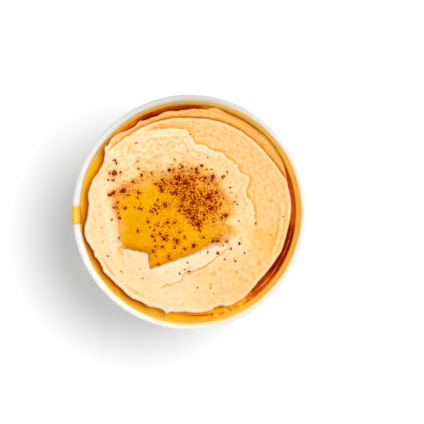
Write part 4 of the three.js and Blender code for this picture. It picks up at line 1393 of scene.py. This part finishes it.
def make_pool(clusters):
    """The pool's surface, carried a little way under its banks: level, and drawn up a little by
    exp(-depth) where it is shallow. Its underside lies just in the paste."""
    angle = np.arange(0, 360, 360 / POOL.around)[None, :]
    cos, sin = np.cos(np.radians(angle)), np.sin(np.radians(angle))
    distance = np.arange(*POOL.reach, POOL.step)[:, None]
    above = surface_height(CRATER.x + distance * cos, CRATER.y + distance * sin) > POOL_LEVEL
    shore = distance[np.argmax(above, axis=0), 0] + POOL.under_bank
    share = np.linspace(0, 1, POOL.rings + 1)[1:, None]
    x = CRATER.x + share * shore * cos
    y = CRATER.y + share * shore * sin
    bed = surface_height(x, y)
    depth = np.maximum(POOL_LEVEL - bed, 0)
    drawn_up = POOL_MENISCUS.height * np.exp(-depth / POOL_MENISCUS.depth)
    upper = np.stack([x, y, POOL_LEVEL + drawn_up], -1)
    lower = np.stack([x, y, np.minimum(bed, POOL_LEVEL) - POOL.below], -1)[::-POOL.thinned]
    rings = np.concatenate([upper, lower])
    deepest = surface_height(np.array([CRATER.x]), np.array([CRATER.y]))[0]
    middle = [CRATER.x, CRATER.y]
    shape = capped(rings, [*middle, POOL_LEVEL], [*middle, deepest - POOL.below])
    # Painted shade deepens the tone to the left, the bottom and the far left; darker near front
    # banks.
    lean = (x * POOL_SHADE.x + y * POOL_SHADE.y) / POOL_SHADE.reach
    from_bank = shore * (1 - share)
    banked = window(angle, *POOL_BANKED.stretch) * bell(from_bank / POOL_BANKED.reach)
    left = window(angle, *POOL_LEFT.stretch) * smoothstep(share * shore, *POOL_LEFT.rise)
    tone = depth / POOL_DEPTH * POOL_TONE.depth + POOL_TONE.base + lean
    tone = tone + POOL_TONE.banked * banked + POOL_TONE.left * left
    torn = POOL_WASHED_TORN.height * flat_noise(x, y, POOL_WASHED_TORN)
    washed = 1 - smoothstep(from_bank - POOL.under_bank + torn, *POOL_WASHED.rise)
    washed = window(angle, *POOL_WASHED.stretch) * washed
    tone = lerp(tone, POOL_TONE.washed, washed)
    stain = np.clip(STAIN.on_oil * stain_of(x, y, clusters) + haze_of(x, y), 0, 1)
    hidden = lower.shape[0] * lower.shape[1] + 2
    fields = {
        "depth": np.append(tone.ravel(), np.full(hidden, HIDDEN_TONE)),
        "paprika": np.append(stain.ravel(), np.zeros(hidden)),
    }
    make_piece("pool_of_oil", shape, pool_finish(), ["oil_pool"], fields)


def moat_tone(angle, share):
    """Depth of colour at a share of the way from the paste to the wall: the stretches' tones,
    which hold painted shade as well as depth, each weighted by a window of angles."""
    tone, weight = 0.0, 0.0
    for start, end, beside, half_way, at_wall in MOAT_STRETCHES:
        present = window(angle, start - STRETCH_FADE / 2, end + STRETCH_FADE / 2, STRETCH_FADE)
        present = present + 1e-6
        across = lerp(beside, half_way, smoothstep(share, *BESIDE_PASTE))
        across = lerp(across, at_wall, smoothstep(share, *BESIDE_WALL))
        tone = tone + present * across
        weight = weight + present
    return tone / weight


def make_moat():
    """A ring of oil from just inside the hummus's flank to just inside the board: drawn up by
    exp(-distance) at the wall, with slow waves and one bell-shaped ripple."""
    angle = np.arange(0, 360, MOAT.step)[None, :]
    near = flank_radius(angle) - MOAT.overlap
    far = inner_radius(MOAT_LEVEL) + REACH_INTO_WALL
    far_below = inner_radius(MOAT_FLOOR) + REACH_INTO_WALL
    share = np.linspace(0, 1, MOAT.rings)[:, None]
    radius = near + (far - near) * share
    x, y = radius * np.cos(np.radians(angle)), radius * np.sin(np.radians(angle))
    inside = np.sin(np.pi * (radius - near) / (far - near))
    slow = MOAT_WAVES.height * flat_noise(x, y, MOAT_WAVES) * inside
    reach = turn(angle, CREST.middle)
    crest = bell((radius - CREST.radius - CREST.climb * reach) / CREST.width)
    crest = crest * window(angle, *CREST.stretch)
    sway = round_noise(angle, CREST.radius, CREST)
    crest = crest * (CREST.base + CREST.sway * sway)
    rise = MENISCUS.height * np.exp((radius - far) / MENISCUS.reach)
    upper = polar(radius, angle, MOAT_LEVEL + rise + slow + CREST.height * crest)
    radius_below = near + (far_below - near) * share
    lower = polar(radius_below, angle, MOAT_FLOOR - REACH_BELOW)[::-MOAT.thinned]
    edge = edge_radius(angle) + MOAT.edge
    # Painted shade: the tone is darker beside the paste and on stretches in the rim's shade.
    tone = moat_tone(angle, (radius - edge) / np.maximum(far - edge, MOAT.narrowest))
    along = turn(angle, RED_LINE.middle)
    line = bell((radius - RED_LINE.radius - RED_LINE.climb * along) / RED_LINE.width)
    line = RED_LINE.strength * line * bell(along / RED_LINE.half) ** 2
    # Painted highlight: the ripple's colour is lighter along its crest.
    tone = tone + line - CREST.lighter * crest
    # Painted glints: the tone is made lighter and darker in small patches.
    glints = window(angle, *GLINTS.stretch) * flat_noise(x, y, GLINTS)
    tone = tone + GLINTS.strength * glints
    hidden = lower.shape[0] * lower.shape[1]
    depth = np.append(tone.ravel(), np.full(hidden, HIDDEN_TONE))
    shape = looped(np.concatenate([upper, lower]))
    make_piece("moat_of_oil", shape, moat_finish(), ["oil_moat"], {"depth": depth})


def make_tongue():
    """A domed film of oil along the seam: its section is half a sine wave across, and it runs
    up the inner wall, over the bead and a little way down outside, where it ends in a quarter of
    a circle. Its colour is painted lighter, by a bell, where it faces up: a painted highlight
    along its crest."""
    top = SEAM.roll_proud
    foot, wall_top = (inner_radius(TONGUE.foot), TONGUE.foot), (WALL_TOP_RADIUS - top, BEAD.z)
    course = np.vstack([
        line(foot, wall_top, TONGUE_ROWS.wall),
        arc((BEAD.r, BEAD.z), BEAD_RADIUS + top, 180, TONGUE.end, TONGUE_ROWS.roll),
    ])
    normal = section_normals(course)
    share = np.linspace(0, 1, len(course))
    over = np.linspace(0, 180, TONGUE_ROWS.arch)
    turned = np.append(over, np.linspace(200, 340, TONGUE_ROWS.under))
    across = np.cos(np.radians(turned))
    arch = np.maximum(np.sin(np.radians(turned)), 0) ** TONGUE.dome
    dome = np.where(turned <= 180, arch, -TONGUE.under)
    from_end = np.clip(share - (1 - TONGUE.rounded), 0, 1) / TONGUE.rounded
    ends = np.sqrt(np.clip(1 - from_end**2, TONGUE.tip, 1))
    sway = noise(share * TONGUE.sway_count, 0.0, seed=TONGUE.seed)
    half = TONGUE.width / 2 * ends * (1 + TONGUE.sway * sway)
    thick = TONGUE.thickness * lerp(TONGUE.thin, 1, ends)[:, None] * dome
    radius = course[:, 0, None] + thick * normal[:, 0, None]
    height = course[:, 1, None] + thick * normal[:, 1, None]
    angle = SEAM.angle - np.degrees(half[:, None] * across / BEAD.r)
    rings = polar(radius, angle, height)
    shape = capped(rings, rings[0].mean(0), rings[-1].mean(0))
    facing = heading(normal[:, 0], normal[:, 1])
    # Painted highlight: the film's colour is lighter where it faces up.
    crest = bell(turn(facing, TONGUE_TONE.crest_angle) / TONGUE_TONE.crest_half)
    depth = TONGUE_TONE.base - TONGUE_TONE.crest * crest[:, None] + 0.0 * across
    depth = np.append(depth.ravel(), [TONGUE_TONE.ends, TONGUE_TONE.ends])
    make_piece("tongue_of_oil", shape, film_finish(), ["oil_over_rim"], {"depth": depth})


def make_froth():
    """Small bits of froth on the moat, flattened balls that lie half in the oil, strewn about a
    few places by normal draws."""
    random = np.random.default_rng(FROTH.seed)
    balls = []
    for x, y, spread, count in FROTH.places:
        for _ in range(count):
            centre = np.array([x, y, MOAT_LEVEL + FROTH.above])
            centre[:2] += random.normal(0, spread, 2)
            size = random.uniform(*FROTH.size)
            balls.append(centre + UNIT_GRAIN * size * np.array([1, 1, FROTH.flat]))
    points = np.concatenate(balls)
    faces = GRAIN_FACES[None] + len(UNIT_GRAIN) * np.arange(len(balls))[:, None, None]
    depth = np.full(len(points), FROTH.tone)
    shape = points, faces.reshape(-1, 3)
    make_piece("froth_on_moat", shape, film_finish(), [], {"depth": depth})


# ------------------------------------------------------------------ paprika


def grain_shape():
    """A ball of 20 triangles: 12 corners on three crossed golden rectangles."""
    golden = (1 + 5**0.5) / 2
    flat = [(side, golden * up) for up in (-1, 1) for side in (-1, 1)]
    corners = [(0, a, b) for a, b in flat] + [(a, b, 0) for a, b in flat]
    corners = np.array(corners + [(b, 0, a) for a, b in flat], float)
    corners = corners / np.linalg.norm(corners[0])
    gaps = np.linalg.norm(corners[:, None] - corners[None], axis=2)
    near = gaps < 1.2
    trios = [
        (i, j, k)
        for i in range(12) for j in range(i + 1, 12) for k in range(j + 1, 12)
        if near[i, j] and near[j, k] and near[i, k]
    ]
    out = [
        trio if np.linalg.det(corners[list(trio)]) > 0 else trio[::-1] for trio in trios
    ]
    return corners, np.array(out)


UNIT_GRAIN, GRAIN_FACES = grain_shape()


def paprika_density(x, y):
    """Share of candidates that are kept at a place, as a sum of oval bells."""
    return sum(
        strength * bell(np.hypot((x - at_x) / wide, (y - at_y) / high))
        for at_x, at_y, wide, high, strength in SPRINKLE.bells
    ) + SPRINKLE.floor


def paprika_clusters():
    """Where paprika lies, rows of (x, y, size): the large clumps, then others drawn at random
    over the tub and kept by density. Their sizes are mostly small, by the fourth power of a
    random number, and smaller where they lie thinly."""
    random = np.random.default_rng(SPRINKLE.seed)
    reach = SPRINKLE.reach * np.sqrt(random.random(SPRINKLE.candidates))
    angle = 2 * np.pi * random.random(SPRINKLE.candidates)
    x, y = reach * np.cos(angle), reach * np.sin(angle)
    density = paprika_density(x, y)
    kept = random.random(SPRINKLE.candidates) < density
    size = SPRINKLE.smallest + SPRINKLE.range * random.random(SPRINKLE.candidates) ** 4
    size = size * lerp(SPRINKLE.thin_size, 1, smoothstep(density, *SPRINKLE.thin_rise))
    strewn = np.stack([x, y, size], 1)[kept]
    return np.vstack([CLUMPS, strewn])


def make_paprika(clusters):
    """Each cluster is one flake or several, scattered within its size and heaped towards its
    middle. A flake is a ball of 20 triangles with its corners pushed in and out, flattened,
    tilted and turned. Flakes on the pool and on the paste are separate pieces."""
    random = np.random.default_rng(SPRINKLE.seed + 1)
    counts = np.round((clusters[:, 2] / FLAKE.alone) ** 2)
    counts = np.clip(counts, 1, FLAKE.most).astype(int)
    owner = np.repeat(np.arange(len(clusters)), counts)
    total = len(owner)
    alone = counts[owner] == 1
    whole = clusters[owner, 2]
    spread = np.where(alone, 0, HEAP.spread * whole * random.random(total) ** HEAP.even)
    angle = 2 * np.pi * random.random(total)
    x = clusters[owner, 0] + spread * np.cos(angle)
    y = clusters[owner, 1] + spread * np.sin(angle)
    size = np.where(alone, whole, random.uniform(*FLAKE.sizes, total))
    ground = surface_height(x, y)
    floats = ground < POOL_LEVEL
    heap = HEAP.height * np.where(alone, 0, np.minimum(whole, HEAP.widest))
    heap = heap * bell(spread / (HEAP.bell * whole))
    z = np.maximum(ground, POOL_LEVEL) + heap + np.where(floats, 0.0, FLAKE.lift * size)
    corners = UNIT_GRAIN[None] * random.uniform(*FLAKE.push, (total, len(UNIT_GRAIN), 1))
    corners = corners * np.array(FLAKE.half) * size[:, None, None]
    turned, tilt = 2 * np.pi * random.random(total), random.normal(0, FLAKE.tilt, total)
    sin, cos = np.sin(tilt)[:, None], np.cos(tilt)[:, None]
    leant = np.stack([
        corners[..., 0] * cos - corners[..., 2] * sin,
        corners[..., 1],
        corners[..., 0] * sin + corners[..., 2] * cos,
    ], -1)
    sin, cos = np.sin(turned)[:, None], np.cos(turned)[:, None]
    placed = np.stack([
        x[:, None] + leant[..., 0] * cos - leant[..., 1] * sin,
        y[:, None] + leant[..., 0] * sin + leant[..., 1] * cos,
        z[:, None] + leant[..., 2],
    ], -1)
    shade = random.normal(np.where(alone, SHADE.alone, SHADE.heaped), SHADE.range, total)
    shade = np.clip(shade, 0, 1)
    finish = paprika_finish()
    for name, chosen in (("paprika_on_hummus", ~floats), ("paprika_on_oil", floats)):
        few = int(chosen.sum())
        faces = GRAIN_FACES[None] + len(UNIT_GRAIN) * np.arange(few)[:, None, None]
        shape = placed[chosen].reshape(-1, 3), faces.reshape(-1, 3)
        fields = {"shade": np.repeat(shade[chosen], len(UNIT_GRAIN))}
        make_piece(name, shape, finish, fields=fields, smooth=False)


# ------------------------------------------------------------------ floor, light and camera


def make_floor():
    """A square of floor, just below the tub's foot."""
    mesh = bpy.data.meshes.new("floor")
    half, level = FLOOR.half * MM, FLOOR.level * MM
    mesh.from_pydata([(-half, -half, level), (half, -half, level), (half, half, level),
                      (-half, half, level)], [], [(0, 1, 2, 3)])
    mesh.materials.append(floor_finish())
    floor = bpy.data.objects.new("floor", mesh)
    bpy.context.scene.collection.objects.link(floor)


def hang(lamp, elevation, azimuth, distance, mirrored):
    """A lamp that shines on the tub's rim from a direction and a distance. One that isn't
    mirrored leaves no highlight on the oil."""
    up, turned = np.radians(elevation), np.radians(azimuth)
    towards = Vector((np.cos(up) * np.cos(turned), np.cos(up) * np.sin(turned), np.sin(up)))
    holder = bpy.data.objects.new(lamp.name, lamp)
    holder.rotation_euler = towards.to_track_quat("Z", "Y").to_euler()
    holder.location = towards * distance * MM + Vector((0, 0, TUB_HEIGHT * MM))
    holder.visible_glossy = mirrored
    bpy.context.scene.collection.objects.link(holder)


def make_light():
    """White light from all round but for a dark patch overhead, so that level oil shows its own
    colour, and one broad soft lamp high at the back on the right."""
    world = bpy.data.worlds.new("soft_studio")
    world.use_nodes = True
    nodes, links = world.node_tree.nodes, world.node_tree.links
    direction = nodes.new("ShaderNodeTexCoord").outputs["Generated"]
    split = nodes.new("ShaderNodeSeparateXYZ")
    links.new(direction, split.inputs[0])
    ring = nodes.new("ShaderNodeMapRange")
    ring.interpolation_type = "SMOOTHSTEP"
    links.new(split.outputs["Z"], ring.inputs["Value"])
    inner, outer = np.cos(np.radians(LIGHT.dark))
    limits = {"From Min": outer, "From Max": inner, "To Min": 1, "To Max": 0}
    for socket, value in limits.items():
        ring.inputs[socket].default_value = value
    links.new(ring.outputs[0], nodes["Background"].inputs["Color"])
    nodes["Background"].inputs["Strength"].default_value = LIGHT.world
    bpy.context.scene.world = world
    key = bpy.data.lights.new("key", "SUN")
    key.energy, key.angle = LIGHT.sun, np.radians(LIGHT.width)
    hang(key, LIGHT.elevation, LIGHT.azimuth, 0, False)
    strip = bpy.data.lights.new("strip", "AREA")
    strip.shape, strip.energy = "RECTANGLE", STRIP.watts
    strip.size, strip.size_y = STRIP.length * MM, STRIP.width * MM
    hang(strip, STRIP.elevation, STRIP.azimuth, STRIP.distance, True)
    bpy.context.scene.view_settings.view_transform = "Standard"


def make_camera():
    """Seen from nearly straight above, a little from the seam's side."""
    lens = bpy.data.cameras.new("camera")
    lens.lens, lens.sensor_width = CAMERA.lens, CAMERA.sensor
    lens.clip_start, lens.clip_end = (distance * MM for distance in CAMERA.clip)
    camera = bpy.data.objects.new("camera", lens)
    eye, aim = Vector(CAMERA.eye) * MM, Vector(CAMERA.aim) * MM
    back = (eye - aim).normalized()
    right = Vector((0, 1, 0)).cross(back).normalized()
    up = back.cross(right)
    axes = Matrix((right, up, back)).transposed().to_4x4()
    camera.matrix_world = Matrix.Translation(eye) @ axes
    bpy.context.scene.collection.objects.link(camera)
    bpy.context.scene.camera = camera


# ------------------------------------------------------------------ the scene

make_camera()
make_light()
make_floor()
make_wall()
make_base()
clusters = paprika_clusters()
make_hummus(clusters)
make_pool(clusters)
make_moat()
make_tongue()
make_froth()
make_paprika(clusters)
